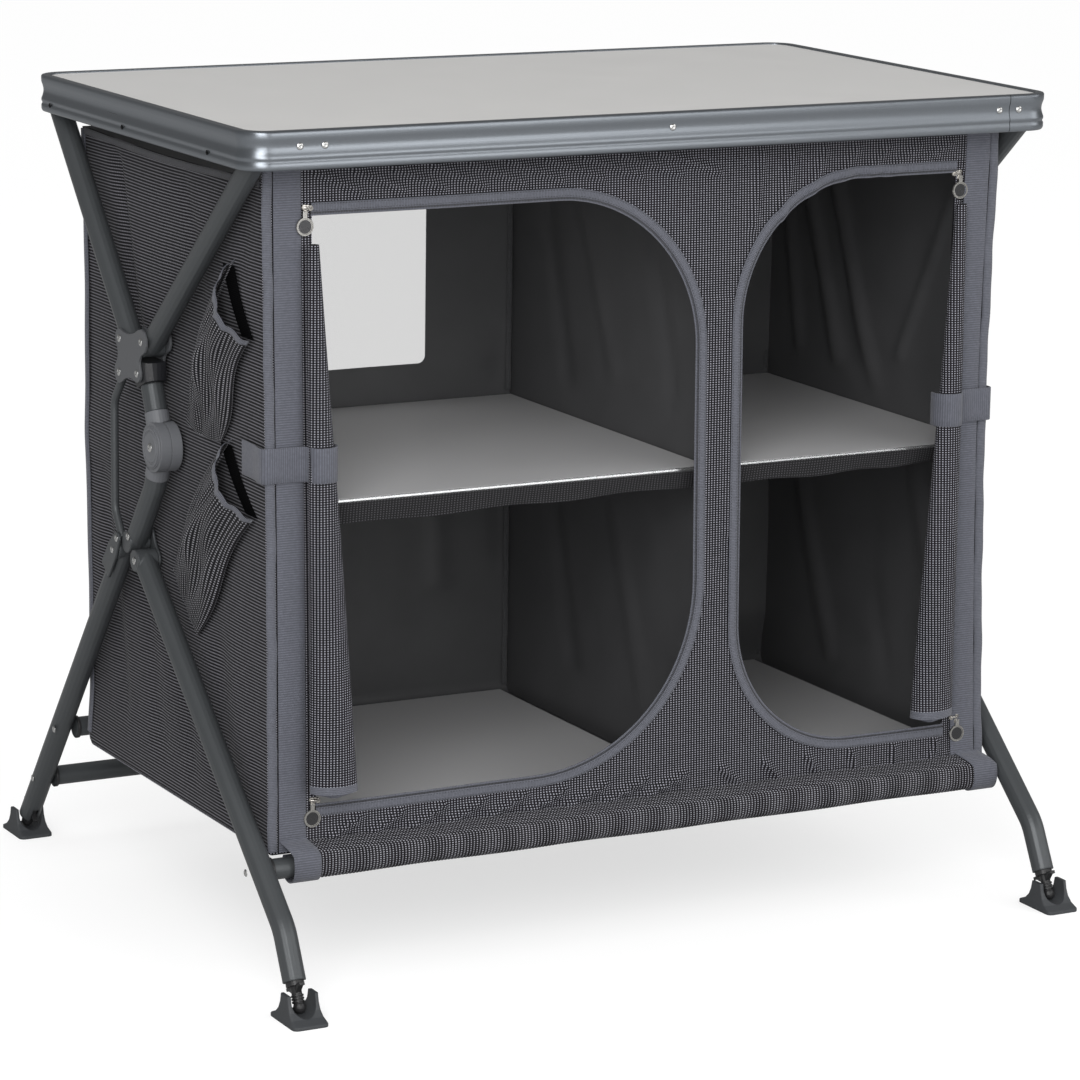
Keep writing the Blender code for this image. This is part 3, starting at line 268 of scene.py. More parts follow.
RIM_CORNER = 0.0280
RIM_PROFILE = [(-0.0090, 0.0225), (-0.0090, 0.0358), (-0.0088, 0.0360), (-0.0018, 0.0360),
               (-0.0008, 0.0357), (-0.0002, 0.0350), (0.0, 0.0340), (0.0, 0.0318), (-0.0001, 0.0298),
               (-0.0004, 0.0284)]     # distance outwards from the end of the top, height in the rim
RIM_PROFILE += [(-0.0004 - 0.0018 * math.sin(math.pi * k / 14), 0.0284 - 0.0150 * k / 14)
                for k in range(1, 14)]
RIM_PROFILE += [(-0.0004, 0.0134), (-0.0001, 0.0126), (0.0, 0.0116), (-0.0001, 0.0106), (-0.0005, 0.0099),
                (-0.0009, 0.0094), (-0.0009, 0.0078), (-0.0004, 0.0072), (0.0, 0.0062), (0.0, 0.0032),
                (-0.0003, 0.0018), (-0.0009, 0.0007), (-0.0018, 0.0), (-0.0118, 0.0), (-0.0120, 0.0002),
                (-0.0120, 0.0225)]


def arc_points(centre, radius, start, end, steps):
    """Points on an arc, angles in degrees."""
    return [(centre[0] + radius * math.cos(math.radians(start + (end - start) * k / steps)),
             centre[1] + radius * math.sin(math.radians(start + (end - start) * k / steps)))
            for k in range(steps + 1)]


def rounded_outline(left, right, bottom, top, radii, steps=14):
    """A rectangle's outline; radii are for its lower left, lower right, upper right, upper left."""
    a, b, c, d = radii
    return (arc_points((left + a, bottom + a), a, 180, 270, steps)
            + arc_points((right - b, bottom + b), b, 270, 360, steps)
            + arc_points((right - c, top - c), c, 0, 90, steps)
            + arc_points((left + d, top - d), d, 90, 180, steps))


def facing_out(piece):
    """Turn a closed piece's faces outwards if they face in."""
    mesh = piece.data
    volume = 0.0
    for face in mesh.polygons:
        first = mesh.vertices[face.vertices[0]].co
        for a, b in zip(face.vertices[1:], face.vertices[2:]):
            volume += first.dot(mesh.vertices[a].co.cross(mesh.vertices[b].co))
    if volume < 0:
        mesh.flip_normals()
    return piece


def made_piece(name, points, faces, finishes, sharp, cuts=None):
    """A closed piece, smooth but for edges sharper than an angle in degrees.

    Cuts are the places of its faces' corners on the flat cloth.
    """
    mesh = bpy.data.meshes.new(name)
    mesh.from_pydata(points, [], faces)
    if cuts is not None:
        mesh.uv_layers.new(name="cut").data.foreach_set("uv", np.array(cuts).ravel())
    for finish in finishes:
        mesh.materials.append(finish)
    mesh.shade_smooth()
    mesh.set_sharp_from_angle(angle=math.radians(sharp))
    mesh.update()
    return facing_out(placed(name, mesh))


def fitted(piece, body):
    """Let a piece ride on a body."""
    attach(piece, body)
    return piece


rim_low, rim_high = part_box("table_rim")
rim_rings = [[(x, y, rim_low[2] + height) for x, y in
              rounded_outline(rim_low[0] - outwards, rim_high[0] + outwards, rim_low[1] - outwards,
                              rim_high[1] + outwards, [RIM_CORNER + outwards] * 4, 28)]
             for outwards, height in RIM_PROFILE]
rim_run, rim_turn = len(rim_rings[0]), len(rim_rings)
rim_faces = [(p * rim_run + k, (p + 1) % rim_turn * rim_run + k,
              (p + 1) % rim_turn * rim_run + (k + 1) % rim_run, p * rim_run + (k + 1) % rim_run)
             for p in range(rim_turn) for k in range(rim_run)]
fluted_rim = made_piece("fluted_rim", [point for ring in rim_rings for point in ring], rim_faces,
                        [rim_metal], 42)
fitted(fluted_rim, "table")
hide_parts("table_rim")


# Rivets and screws hold the rim to the braces and arms: five bright domed rivets in its flute at
# the front, three black screws low on the left end, and the same on the hidden sides.
RIM_RIVET_Z = 0.7957
RIM_SCREW_Z = 0.7820
RIM_RIVETS_X = (-0.3810, -0.3562, 0.0036, 0.3705, 0.3930)
RIM_SCREWS_Y = (-0.1795, 0.0215, 0.2065)
FLUTE_DEEP = 0.0021
RIM_HEAD = (0.0036, 0.0016, 0.0011)      # radius, height and dimple of a rivet's head
SCREW_HEAD = (0.0024, 0.0009, 0.0007)

steel = grained("bright_steel", (0.62, 0.62, 0.61), 0.24, 1.0, 700.0, 0.00002, mottle=0.05)
black_steel = grained("black_steel", (0.020, 0.021, 0.022), 0.38, 1.0, 700.0, 0.00002, mottle=0.05)


def started_tree(name, sockets):
    """A geometry node tree that grows one mesh, with the values that it is given."""
    tree = bpy.data.node_groups.new(name, "GeometryNodeTree")
    for socket, kind in sockets.items():
        tree.interface.new_socket(socket, in_out="INPUT", socket_type="NodeSocket" + kind)
    tree.interface.new_socket("Grown", in_out="OUTPUT", socket_type="NodeSocketGeometry")
    return tree, wire(tree, "NodeGroupInput").outputs


def set_along(tree, points, part, direction):
    """One copy of a part on each point, turned along a direction."""
    turned = wire(tree, "FunctionNodeAlignRotationToVector", {"Vector": direction}, axis="Z")
    laid = wire(tree, "GeometryNodeInstanceOnPoints", {"Points": points, "Instance": part,
                                                       "Rotation": turned.outputs[0]})
    return wire(tree, "GeometryNodeRealizeInstances", {0: laid.outputs[0]}).outputs[0]


def ended_tree(tree, grown_mesh, finish):
    """Give the tree's mesh its finish and hand it out."""
    finished = wire(tree, "GeometryNodeSetMaterial", {"Geometry": grown_mesh, "Material": finish})
    wire(tree, "NodeGroupOutput", {0: finished.outputs[0]})
    return tree


def rivet_tree():
    """Geometry nodes that set a dimpled dome on each point, turned along its facing attribute."""
    tree, given = started_tree("rivets", {"Seats": "Geometry", "Head Radius": "Float",
                                          "Head Height": "Float", "Dimple": "Float",
                                          "Finish": "Material"})
    radius = given["Head Radius"]
    ball = wire(tree, "GeometryNodeMeshUVSphere", {"Segments": 20, "Rings": 14, "Radius": radius})
    x, y, z = wire(tree, "ShaderNodeSeparateXYZ",
                   {0: wire(tree, "GeometryNodeInputPosition").outputs[0]}).outputs
    domed = maths(tree, "MULTIPLY", maths(tree, "MAXIMUM", z, 0.0),
                  maths(tree, "DIVIDE", given["Head Height"], radius))
    reach = wire(tree, "ShaderNodeVectorMath",
                 {0: wire(tree, "ShaderNodeCombineXYZ", {0: x, 1: y}).outputs[0]}, operation="LENGTH")
    hollow = wire(tree, "ShaderNodeMapRange",
                  {"Value": reach.outputs["Value"], "From Min": 0.0,
                   "From Max": maths(tree, "MULTIPLY", radius, 0.42), "To Min": 1.0, "To Max": 0.0},
                  interpolation_type="SMOOTHSTEP").outputs[0]
    low = maths(tree, "SUBTRACT", domed, maths(tree, "MULTIPLY", hollow, given["Dimple"]))
    shaped = wire(tree, "ShaderNodeCombineXYZ", {0: x, 1: y, 2: maths(tree, "MAXIMUM", low, 0.0)})
    head = wire(tree, "GeometryNodeSetPosition", {"Geometry": ball.outputs[0],
                                                  "Position": shaped.outputs[0]})
    facing = wire(tree, "GeometryNodeInputNamedAttribute", {"Name": "facing"}, data_type="FLOAT_VECTOR")
    heads = set_along(tree, given["Seats"], head.outputs[0], facing.outputs[0])
    smooth = wire(tree, "GeometryNodeSetShadeSmooth", {"Geometry": heads})
    return ended_tree(tree, smooth.outputs[0], given["Finish"])


RIVETS = rivet_tree()


def grown(name, seed_mesh, tree, values):
    """The mesh that a node tree grows from a seed mesh, as a plain object."""
    seed = placed("seed", seed_mesh)
    modifier = seed.modifiers.new("nodes", "NODES")
    modifier.node_group = tree
    for item in tree.interface.items_tree:
        if item.in_out == "INPUT" and item.name in values:
            modifier[item.identifier] = values[item.name]
    graph = bpy.context.evaluated_depsgraph_get()
    mesh = bpy.data.meshes.new_from_object(seed.evaluated_get(graph))
    mesh.name = name
    bpy.data.objects.remove(seed, do_unlink=True)
    return placed(name, mesh)


def rivets(name, seats, head, body, finish=steel):
    """One domed head on each seat (place, direction it faces), all riding on one body."""
    mesh = bpy.data.meshes.new(name)
    mesh.from_pydata([place for place, _ in seats], [], [])
    facing = mesh.attributes.new("facing", "FLOAT_VECTOR", "POINT")
    for value, (_, direction) in zip(facing.data, seats):
        value.vector = direction
    values = dict(zip(("Head Radius", "Head Height", "Dimple"), head), Finish=finish)
    fitted(grown(name, mesh, RIVETS, values), body)


rivets("rim_rivets", [((x, y, RIM_RIVET_Z), (0, way, 0)) for x in RIM_RIVETS_X
                      for y, way in ((rim_low[1] + FLUTE_DEEP, -1), (rim_high[1] - FLUTE_DEEP, 1))],
       RIM_HEAD, "table")
rivets("rim_screws", [((x, y, RIM_SCREW_Z), (way, 0, 0)) for y in RIM_SCREWS_Y
                      for x, way in ((rim_low[0], -1), (rim_high[0], 1))], SCREW_HEAD, "table",
       black_steel)


# The side frames and cross bars are steel tube with a dark slate powder coat, satin and faintly
# pebbled.
SIDES = (("left", -1), ("right", 1))
slate_coat = grained("slate_coat", (0.066, 0.071, 0.075), 0.38, 0.35, 650.0, 0.00007, mottle=0.05,
                     ease=0.0024)
dress(["front_bar", "rear_upper_bar", "rear_lower_bar"], slate_coat)
for side, _ in SIDES:
    dress([f"{side}_{kind}" for kind in
           ("front_arm", "rear_arm", "upper_link", "lower_link", "stay_rod", "lower_inner_plate",
            "leg_fork", "front_leg", "rear_leg")], slate_coat)


# The star plates, saddles and knee are moulded in dark grey and black plastic. Hollow rivets pin
# the tubes through the plates, and smaller ones fix each bar to its legs.
HUB_PINS = ((-0.0065, 0.5790), (0.0470, 0.5745), (0.0479, 0.5414), (0.0039, 0.5469))
LOWER_PINS = ((0.0195, 0.3595), (0.0350, 0.3805))
FORK_PINS = ((0.0685, 0.3610), (0.0575, 0.3745))
KNEE = (-0.0265, 0.4800)
PIN_HEAD = (0.0040, 0.0014, 0.0011)      # radius, height and dimple of a rivet's head
FORK_HEAD = (0.0036, 0.0012, 0.0010)
BAR_HEAD = (0.0036, 0.0014, 0.0010)
BAR_PLACES = {"front_legs": ((-0.2455, 0.1165),),
              "rear_legs": ((0.2340, 0.1385), (0.2955, 0.0710))}

hub_grey, knee_grey, saddle_grey = (
    grained(name, colour, roughness, 0.0, 500.0, 0.00010, mottle=0.05, ease=0.0012)
    for name, colour, roughness in (("hub_grey", (0.078, 0.081, 0.087), 0.46),
                                    ("knee_grey", (0.118, 0.122, 0.132), 0.50),
                                    ("saddle_grey", (0.013, 0.0135, 0.016), 0.40)))
moulded_black = grained("moulded_black", (0.018, 0.018, 0.019), 0.42, 0.0, 500.0, 0.00008, ease=0.0012)


def face_x(name, sign):
    """The x of a CAD node's face that looks along a sign."""
    low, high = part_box(name)
    return low[0] if sign < 0 else high[0]


def across(x, pins, way):
    """Seats of rivets on a face at an x, for pins as (y, z)."""
    return [((x, *pin), (way, 0, 0)) for pin in pins]


for side, sign in SIDES:
    dress([f"{side}_hub_outer_plate", f"{side}_hub_inner_plate"], hub_grey)
    dress([f"{side}_knee_outer_half", f"{side}_knee_inner_half"], knee_grey)
    dress([f"{side}_hub_saddle"], saddle_grey)
    dress([f"{side}_front_adjuster", f"{side}_rear_adjuster"], moulded_black)
    plate_x = face_x(f"{side}_hub_outer_plate", sign)
    tube_x = face_x(f"{side}_rear_leg", sign)
    rivets(f"{side}_hub_rivets",
           across(plate_x, HUB_PINS, sign) + across(tube_x, LOWER_PINS[1:], sign)
           + across(face_x(f"{side}_hub_inner_plate", -sign), HUB_PINS + LOWER_PINS, -sign),
           PIN_HEAD, "root")
    rivets(f"{side}_leg_pin", across(tube_x, LOWER_PINS[:1], sign), PIN_HEAD, "front_legs")
    rivets(f"{side}_fork_rivets", across(plate_x, FORK_PINS, sign), FORK_HEAD, "rear_legs")
    for body, places in BAR_PLACES.items():
        rivets(f"{side}_{body}_rivets", across(tube_x, places, sign), BAR_HEAD, body)


# The knee's outer half carries a low stepped cap, turned in one piece, with a bright pin.
COVER_STEPS = ((0.0, 0.0192), (0.0005, 0.0192), (0.0008, 0.0187), (0.0008, 0.0168), (0.0003, 0.0163),
               (0.0003, 0.0150), (0.0010, 0.0142), (0.0012, 0.0062), (0.0008, 0.0052), (0.0008, 0.0001))
KNEE_HEAD = (0.0046, 0.0016, 0.0011)
COVER_MIDDLE = 0.0008        # how far the cap's middle stands over the knee


def lofted(name, rings, finish, sharp, widths=None, steps=None):
    """A capped piece through rings of points. Widths and steps lay its sides out flat."""
    sides, last = len(rings[0]), len(rings) - 1
    faces, cuts = [], []
    for k in range(last):
        for s in range(sides):
            t = (s + 1) % sides
            faces.append((k * sides + s, k * sides + t, (k + 1) * sides + t, (k + 1) * sides + s))
            if widths:
                low, high = widths[s]
                cuts += [(low, steps[k]), (high, steps[k]), (high, steps[k + 1]), (low, steps[k + 1])]
    for end, order in ((0, range(sides - 1, -1, -1)), (last, range(sides))):
        faces.append(tuple(end * sides + s for s in order))
        if widths:
            cuts += [(widths[s][0], steps[end]) for s in order]
    return made_piece(name, [point for ring in rings for point in ring], faces, [finish], sharp,
                      cuts or None)


def turned_disc(name, centre, axis, steps, finish, sides=48):
    """A lathe-turned piece: steps are (height along the axis, radius), from its back to its middle."""
    way = Vector(axis).normalized()
    first = way.orthogonal().normalized()
    second = way.cross(first)
    angles = [2 * math.pi * s / sides for s in range(sides)]
    rings = [[Vector(centre) + way * height
              + (first * math.cos(angle) + second * math.sin(angle)) * radius for angle in angles]
             for height, radius in steps]
    return lofted(name, rings, finish, 35)


for side, sign in SIDES:
    knee_x = face_x(f"{side}_knee_outer_half", sign)
    cover = turned_disc(f"{side}_knee_cover", (knee_x, *KNEE), (sign, 0, 0), COVER_STEPS, knee_grey)
    fitted(cover, "root")
    rivets(f"{side}_knee_pin", across(knee_x + sign * COVER_MIDDLE, [KNEE], sign), KNEE_HEAD, "root")


# Each foot is a soft dark grey pad on a black moulded adjuster. Three moulded rings stiffen the
# adjuster's neck between its wings and its ball.
foot_rubber = grained("foot_rubber", (0.040, 0.043, 0.047), 0.60, 0.0, 420.0, 0.00016, mottle=0.08,
                      ease=0.0016)
LEG_X = 0.414
LEG_ENDS = {     # start and end of the leg's straight run as (y, z), and how far its wings lie down it
    "front": ((-0.3075, 0.0780), (-0.3301, 0.0345), 0.0035),
    "rear": ((0.0685, 0.3610), (0.3339, 0.0220), -0.0085)}
RING_DROP, RING_PITCH = 0.0100, 0.0028
RING_STEPS = ((-0.0010, 0.0052), (-0.0008, 0.0060), (0.0008, 0.0060), (0.0010, 0.0052))
for side, sign in SIDES:
    dress([f"{side}_front_pad", f"{side}_rear_pad"], foot_rubber)
    for row, (start, end, wing_drop) in LEG_ENDS.items():
        way = (Vector((0, *end)) - Vector((0, *start))).normalized()
        for index in range(3):
            centre = Vector((sign * LEG_X, *end)) + way * (wing_drop + RING_DROP + RING_PITCH * index)
            ring = turned_disc(f"{side}_{row}_neck_ring_{index + 1}", centre, way, RING_STEPS,
                               moulded_black, 24)
            fitted(ring, f"{side}_{row}_adjuster")


# The cabinet's front is dark cloth woven with a lattice of pale threads, lined with black nylon.
# It leans out to the front bar and creases round its two door openings.
HALF_WIDTH = 0.3988
CABINET_TOP = 0.7600
CABINET_FLOOR = 0.1293
FRONT_TOP_Y = -0.2235
FRONT_LEAN = -0.024576       # y for each metre down
CLOTH = 0.0012
DIVIDER_X = 0.0830
DOOR_BOTTOM = 0.1680
SOFT_CORNER = 0.0080
DOORS = {        # left, right, bottom, top; radii of its corners from the lower left, anticlockwise
    "left": ((-0.3585, 0.0600, DOOR_BOTTOM, 0.7300), (SOFT_CORNER, 0.1800, 0.1520, SOFT_CORNER)),
    "right": ((0.1030, 0.3580, DOOR_BOTTOM, 0.7350), (0.1300, SOFT_CORNER, SOFT_CORNER, 0.1400))}
COLUMN_PITCH = 0.0031        # of the pale threads
ROW_PITCH = 0.0023


def drawn_in(z):
    """How far the strap and the roll draw the right end of the front inwards at a height."""
    return np.interp(z, (0.13, 0.19, 0.30, 0.40, 0.485, 0.57, 0.65, 0.71, 0.76),
                     (0.0030, 0.0048, 0.0066, 0.0077, 0.0079, 0.0070, 0.0045, 0.0018, 0.0))


def eased_step(value, start, end):
    """0 before start, 1 after end, with a soft run between."""
    share = np.clip((value - start) / (end - start), 0, 1)
    return share * share * (3 - 2 * share)


def raised(tree, along, pitch, low=-1.0, high=1.0):
    """1 on a raised thread and 0 between, for threads at a pitch along a coordinate in metres."""
    wave = maths(tree, "SINE", maths(tree, "MULTIPLY", along, 2 * math.pi / pitch))
    return wire(tree, "ShaderNodeMapRange", {"Value": wave, "From Min": low, "From Max": high},
                interpolation_type="SMOOTHSTEP").outputs[0]


def cut_place(tree):
    """Where each point lies across and along the flat cloth."""
    return wire(tree, "ShaderNodeSeparateXYZ",
                {0: wire(tree, "ShaderNodeUVMap", uv_map="cut").outputs[0]}).outputs[:2]


def lattice_cloth(name, ground, thread, column=COLUMN_PITCH, row=ROW_PITCH, ribbed=False,
                  sheen=0.03, gleam=0.22):
    """Dark cloth with a lattice of pale woven dots, or of close ribs, on the piece's own cut."""
    made, tree, shader = start_finish(name, 0.86)
    columns, rows = cut_place(tree)
    dots = maths(tree, "MULTIPLY",
                 raised(tree, columns, column, *((-1.60, -0.20) if ribbed else (-0.20, 0.70))),
                 raised(tree, rows, row, *((0.00, 0.80) if ribbed else (-0.30, 0.60))))
    strength = maths(tree, "MULTIPLY", dots, between(tree, speckle(tree, 160.0), 0.70, 1.20),
                     use_clamp=True)
    finish_off(tree, shader, two_tone(tree, strength, ground, thread), (dots, 0.5, 0.0002))
    shader.inputs["Sheen Weight"].default_value = sheen
    shader.inputs["Specular IOR Level"].default_value = gleam
    return made


def nylon(name, colour):
    """Thin black lining, smooth and a little glossy, with a fine plain weave."""
    made, tree, shader = start_finish(name, 0.48)
    weave = maths(tree, "ADD", *(raised(tree, threads, 0.0009) for threads in cut_place(tree)))
    uneven = speckle(tree, 22.0, 5.0)
    finish_off(tree, shader, two_tone(tree, uneven, shade(colour, 0.85), shade(colour, 1.2)),
               (weave, 0.35, 0.0001), between(tree, uneven, 0.42, 0.56))
    return made


charcoal = lattice_cloth("charcoal_cloth", (0.0055, 0.0052, 0.0072), (0.285, 0.284, 0.322))
# A darkened copy of the lattice cloth: painted shade, for the strips that hang under the shelves' front
# edges.
shaded_cloth = lattice_cloth("shaded_cloth", (0.0100, 0.0098, 0.0108), (0.060, 0.059, 0.064))
lining = nylon("black_lining", (0.054, 0.0543, 0.0565))


def stepped(loop, step, closed=True):
    """An outline with more points where they are further apart than a step."""
    points = []
    following = loop[1:] + (loop[:1] if closed else [])
    for (u0, v0), (u1, v1) in zip(loop, following):
        count = max(1, math.ceil(math.hypot(u1 - u0, v1 - v0) / step))
        points += [(u0 + (u1 - u0) * k / count, v0 + (v1 - v0) * k / count) for k in range(count)]
    if not closed:
        points.append(loop[-1])
    return points


def within(points, loop):
    """Which points lie inside a closed outline."""
    u, v = points[:, 0], points[:, 1]
    hit = np.zeros(len(points), bool)
    for (u0, v0), (u1, v1) in zip(loop, loop[1:] + loop[:1]):
        if v0 != v1:
            hit ^= ((v0 > v) != (v1 > v)) & (u < (u1 - u0) * (v - v0) / (v1 - v0) + u0)
    return hit


def creased(u, v, folds):
    """Height of soft folds; each is u0, v0, u1, v1, half width, height."""
    total = np.zeros_like(u)
    for u0, v0, u1, v1, width, height in folds:
        du, dv = u1 - u0, v1 - v0
        share = np.clip(((u - u0) * du + (v - v0) * dv) / (du * du + dv * dv), 0, 1)
        gap = np.hypot(u - u0 - share * du, v - v0 - share * dv)
        total += height * np.exp(-(gap / width) ** 2)
    return total


def cut_sheet(name, outline, holes, shape, cell, finishes, thickness=CLOTH):
    """Cloth cut flat to an outline with holes, then shaped: shape(u, v, depth) gives its points.

    The outer face takes the first finish and the inner face the second.
    """
    loops = [stepped(loop, cell) for loop in [outline] + holes]

    def on_cloth(points):
        kept = within(points, loops[0])
        for hole in loops[1:]:
            kept &= ~within(points, hole)
        return kept

    border = [point for loop in loops for point in loop]
    edges, start = [], 0
    for loop in loops:
        edges += [(start + k, start + (k + 1) % len(loop)) for k in range(len(loop))]
        start += len(loop)
    low, high = np.min(loops[0], axis=0), np.max(loops[0], axis=0)
    grid = np.stack(np.meshgrid(np.arange(low[0] + cell / 2, high[0], cell),
                                np.arange(low[1] + cell / 2, high[1], cell)), -1).reshape(-1, 2)
    keep = on_cloth(grid)
    for point in border:
        keep &= np.hypot(grid[:, 0] - point[0], grid[:, 1] - point[1]) > cell * 0.55
    flat = [Vector(point) for point in border] + [Vector(point) for point in grid[keep]]
    made = delaunay_2d_cdt(flat, edges, [], 0, 1e-7)
    flat = np.array([tuple(point) for point in made[0]])
    triangles = np.array([face for face in made[2] if len(face) == 3])
    triangles = triangles[on_cloth(flat[triangles].mean(axis=1))]
    count = len(flat)
    points = np.concatenate([shape(flat[:, 0], flat[:, 1], depth) for depth in (0.0, thickness)])
    faces = triangles.tolist()
    ends = dict.fromkeys((a, b) for face in faces for a, b in zip(face, face[1:] + face[:1]))
    faces += (triangles[:, ::-1] + count).tolist()
    faces += [(b, a, a + count, b + count) for a, b in ends if (b, a) not in ends]
    corners = np.array([k for face in faces for k in face])
    piece = made_piece(name, points.tolist(), faces, finishes, 60, flat[corners % count])
    if len(finishes) > 1:
        slots = np.zeros(len(faces), int)
        slots[len(triangles):2 * len(triangles)] = 1
        piece.data.polygons.foreach_set("material_index", slots)
        piece.data.update()
    return piece


def crumple(piece):
    """A piece of the cabinet, riding on the root body with a mesh of its own."""
    fitted(piece, "root")
    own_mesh(piece)
    return piece


FRONT_FOLDS = []
for k in range(10):          # slanting pulls in the strip over the left door
    FRONT_FOLDS.append((-0.345 + 0.040 * k, 0.766, -0.300 + 0.042 * k, 0.7450, 0.0038, 0.0046))
for k in range(9):           # and in the strip under it
    FRONT_FOLDS.append((-0.335 + 0.042 * k, 0.138, -0.305 + 0.044 * k, 0.1545, 0.0036, 0.0056))
for k in range(6):           # under the right door
    FRONT_FOLDS.append((0.110 + 0.045 * k, 0.138, 0.090 + 0.050 * k, 0.1560, 0.0036, 0.0052))
for k in range(7):           # fanning out over the right door
    FRONT_FOLDS.append((0.118 + 0.030 * k, 0.690 + 0.0085 * k, 0.128 + 0.036 * k, 0.760, 0.0050, 0.0034))
for k in range(4):           # down the post between the doors
    FRONT_FOLDS.append((0.066 + 0.009 * k, 0.300 + 0.03 * k, 0.070 + 0.008 * k, 0.620, 0.0040, 0.0012))
for low, high in ((0.7000, 0.7250), (0.1480, 0.1700)):     # pressed in behind the right zip's pulls
    FRONT_FOLDS.append((0.3640, low, 0.3640, high, 0.0085, -0.0022))


def front_y(z):
    """Outer face of the leaning front at a height."""
    return FRONT_TOP_Y + FRONT_LEAN * (CABINET_TOP - z)


def front_shape(u, v, depth):
    """Points of the front for x, z and a depth into the cloth."""
    bulge = creased(u, v, FRONT_FOLDS) + 0.0010 * np.sin(u * 21.0 + v * 9.0)
    x = u - drawn_in(v) * eased_step(u, 0.335, 0.360)
    return np.stack([x, front_y(v) - bulge + depth, v], axis=-1)


FRONT_HEM = 0.1276
FRONT_TOP = 0.7725           # the front runs up behind the rim
FLANGE = 0.0090              # where the front runs on under each roll, for its seam
front_outline = rounded_outline(-HALF_WIDTH, HALF_WIDTH, FRONT_HEM, FRONT_TOP, [0.004] * 4, 3)
door_outlines = {}
for side, ((left, right, bottom, top), radii) in DOORS.items():
    ends = (left + FLANGE, right) if side == "left" else (left, right - FLANGE)
    door_outlines[side] = rounded_outline(*ends, bottom, top, radii)
front_cloth = crumple(cut_sheet("front_cloth", front_outline, list(door_outlines.values()), front_shape,
                                0.0050, [charcoal, lining]))
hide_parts("front_panel")


def outline_area(loop):
    """Area inside a closed outline."""
    return abs(sum(u0 * v1 - u1 * v0 for (u0, v0), (u1, v1) in zip(loop, loop[1:] + loop[:1]))) / 2


front_area = outline_area(front_outline) - sum(outline_area(cut) for cut in door_outlines.values())
front_trims = []             # bindings, tapes and zips sewn to it, made further on


# Grey woven webbing, 28 mm wide, is sewn down both ends of the front. Beside it a ridge of grey
# tape, 10 mm wide, binds each corner.
WEBBING_THICK = 0.0012


def ribbed_webbing(name, colour, rib, fine, stitch=0.0):
    """Woven webbing with ribs across its length and fine threads along it, sewn down at a stitch
    line on either side of its middle."""
    made, tree, shader = start_finish(name, 0.78)
    across_it, along_it = cut_place(tree)
    weave = maths(tree, "ADD", raised(tree, along_it, rib),
                  maths(tree, "MULTIPLY", raised(tree, across_it, fine), 0.5))
    share = maths(tree, "MULTIPLY", weave, between(tree, speckle(tree, 320.0), 0.1, 0.9), use_clamp=True)
    woven = two_tone(tree, share, shade(colour, 0.62), shade(colour, 1.38))
    if stitch:
        off = maths(tree, "SUBTRACT", maths(tree, "ABSOLUTE", across_it), stitch)
        line = wire(tree, "ShaderNodeMapRange",
                    {"Value": maths(tree, "ABSOLUTE", off), "From Min": 0.0002, "From Max": 0.0006,
                     "To Min": 0.75, "To Max": 0.0}).outputs[0]
        dashes = maths(tree, "MULTIPLY", line, raised(tree, along_it, 0.0030, -0.6, 0.0))
        woven = two_tone(tree, dashes, woven, shade(colour, 0.22))
    finish_off(tree, shader, woven, (weave, 0.8, 0.00030))
    shader.inputs["Sheen Weight"].default_value = 0.15
    return made


webbing_finish = ribbed_webbing("grey_webbing", (0.086, 0.090, 0.112), 0.0023, 0.0011)
tape_finish = ribbed_webbing("grey_tape", (0.094, 0.098, 0.120), 0.0016, 0.0013, 0.0029)


def run_along(path):
    """The distance along a path to each of its points."""
    steps = [0.0]
    for before, after in zip(path, path[1:]):
        steps.append(steps[-1] + (after - before).length)
    return steps


def ways(path):
    """The direction of a path at each of its points."""
    last = len(path) - 1
    return [path[min(k + 1, last)] - path[max(k - 1, 0)] for k in range(last + 1)]


def strip(name, centres, sideways, out, width, thickness, finish):
    """Flat webbing along a path; sideways is its width's direction and out its face's."""
    half, ease = width / 2, thickness * 0.3
    ring = [(-half, ease), (-half + ease, 0), (0, 0), (half - ease, 0), (half, ease),
            (half, thickness - ease), (half - ease, thickness), (half / 2, thickness),
            (0, thickness), (-half / 2, thickness), (-half + ease, thickness), (-half, thickness - ease)]
    count = len(centres)
    sideways, out = ([way] * count if isinstance(way, Vector) else way for way in (sideways, out))
    rings = [[centre + side * u + face * w for u, w in ring]
             for centre, side, face in zip(centres, sideways, out)]
    widths = [(start[0], end[0]) for start, end in zip(ring, ring[1:] + ring[:1])]
    return lofted(name, rings, finish, 50, widths, run_along(centres))


def on_front(x, z, lift):
    """A point over the front's outer face."""
    return Vector(front_shape(np.array([x]), np.array([z]), -lift)[0])


FORWARD = Vector((0, -1, 0))
RIGHTWARD = Vector((1, 0, 0))
UPWARD = Vector((0, 0, 1))
BANDS = {"left": (-0.3884, -0.3607), "right": (0.3607, 0.3884)}
BAND_BOTTOM = 0.1300
BAND_TOP = 0.7715
for side, (start, end) in BANDS.items():
    centres = [on_front((start + end) / 2, BAND_BOTTOM + (BAND_TOP - BAND_BOTTOM) * k / 90, 0.0006)
               for k in range(91)]
    band = crumple(strip(f"{side}_front_band", centres, RIGHTWARD, FORWARD, end - start, WEBBING_THICK,
                         webbing_finish))


def swept(name, centres, radii, finish, sides=14):
    """A round or oval piece along a path; radii are the two directions of its section."""
    first, second = (Vector(radius) for radius in radii)
    angles = [2 * math.pi * s / sides for s in range(sides)]
    rings = [[centre + first * math.cos(angle) + second * math.sin(angle) for angle in angles]
             for centre in centres]
    girth = 2 * math.pi * first.length
    widths = [(girth * s / sides, girth * (s + 1) / sides) for s in range(sides)]
    return lofted(name, rings, finish, 50, widths, run_along(centres))


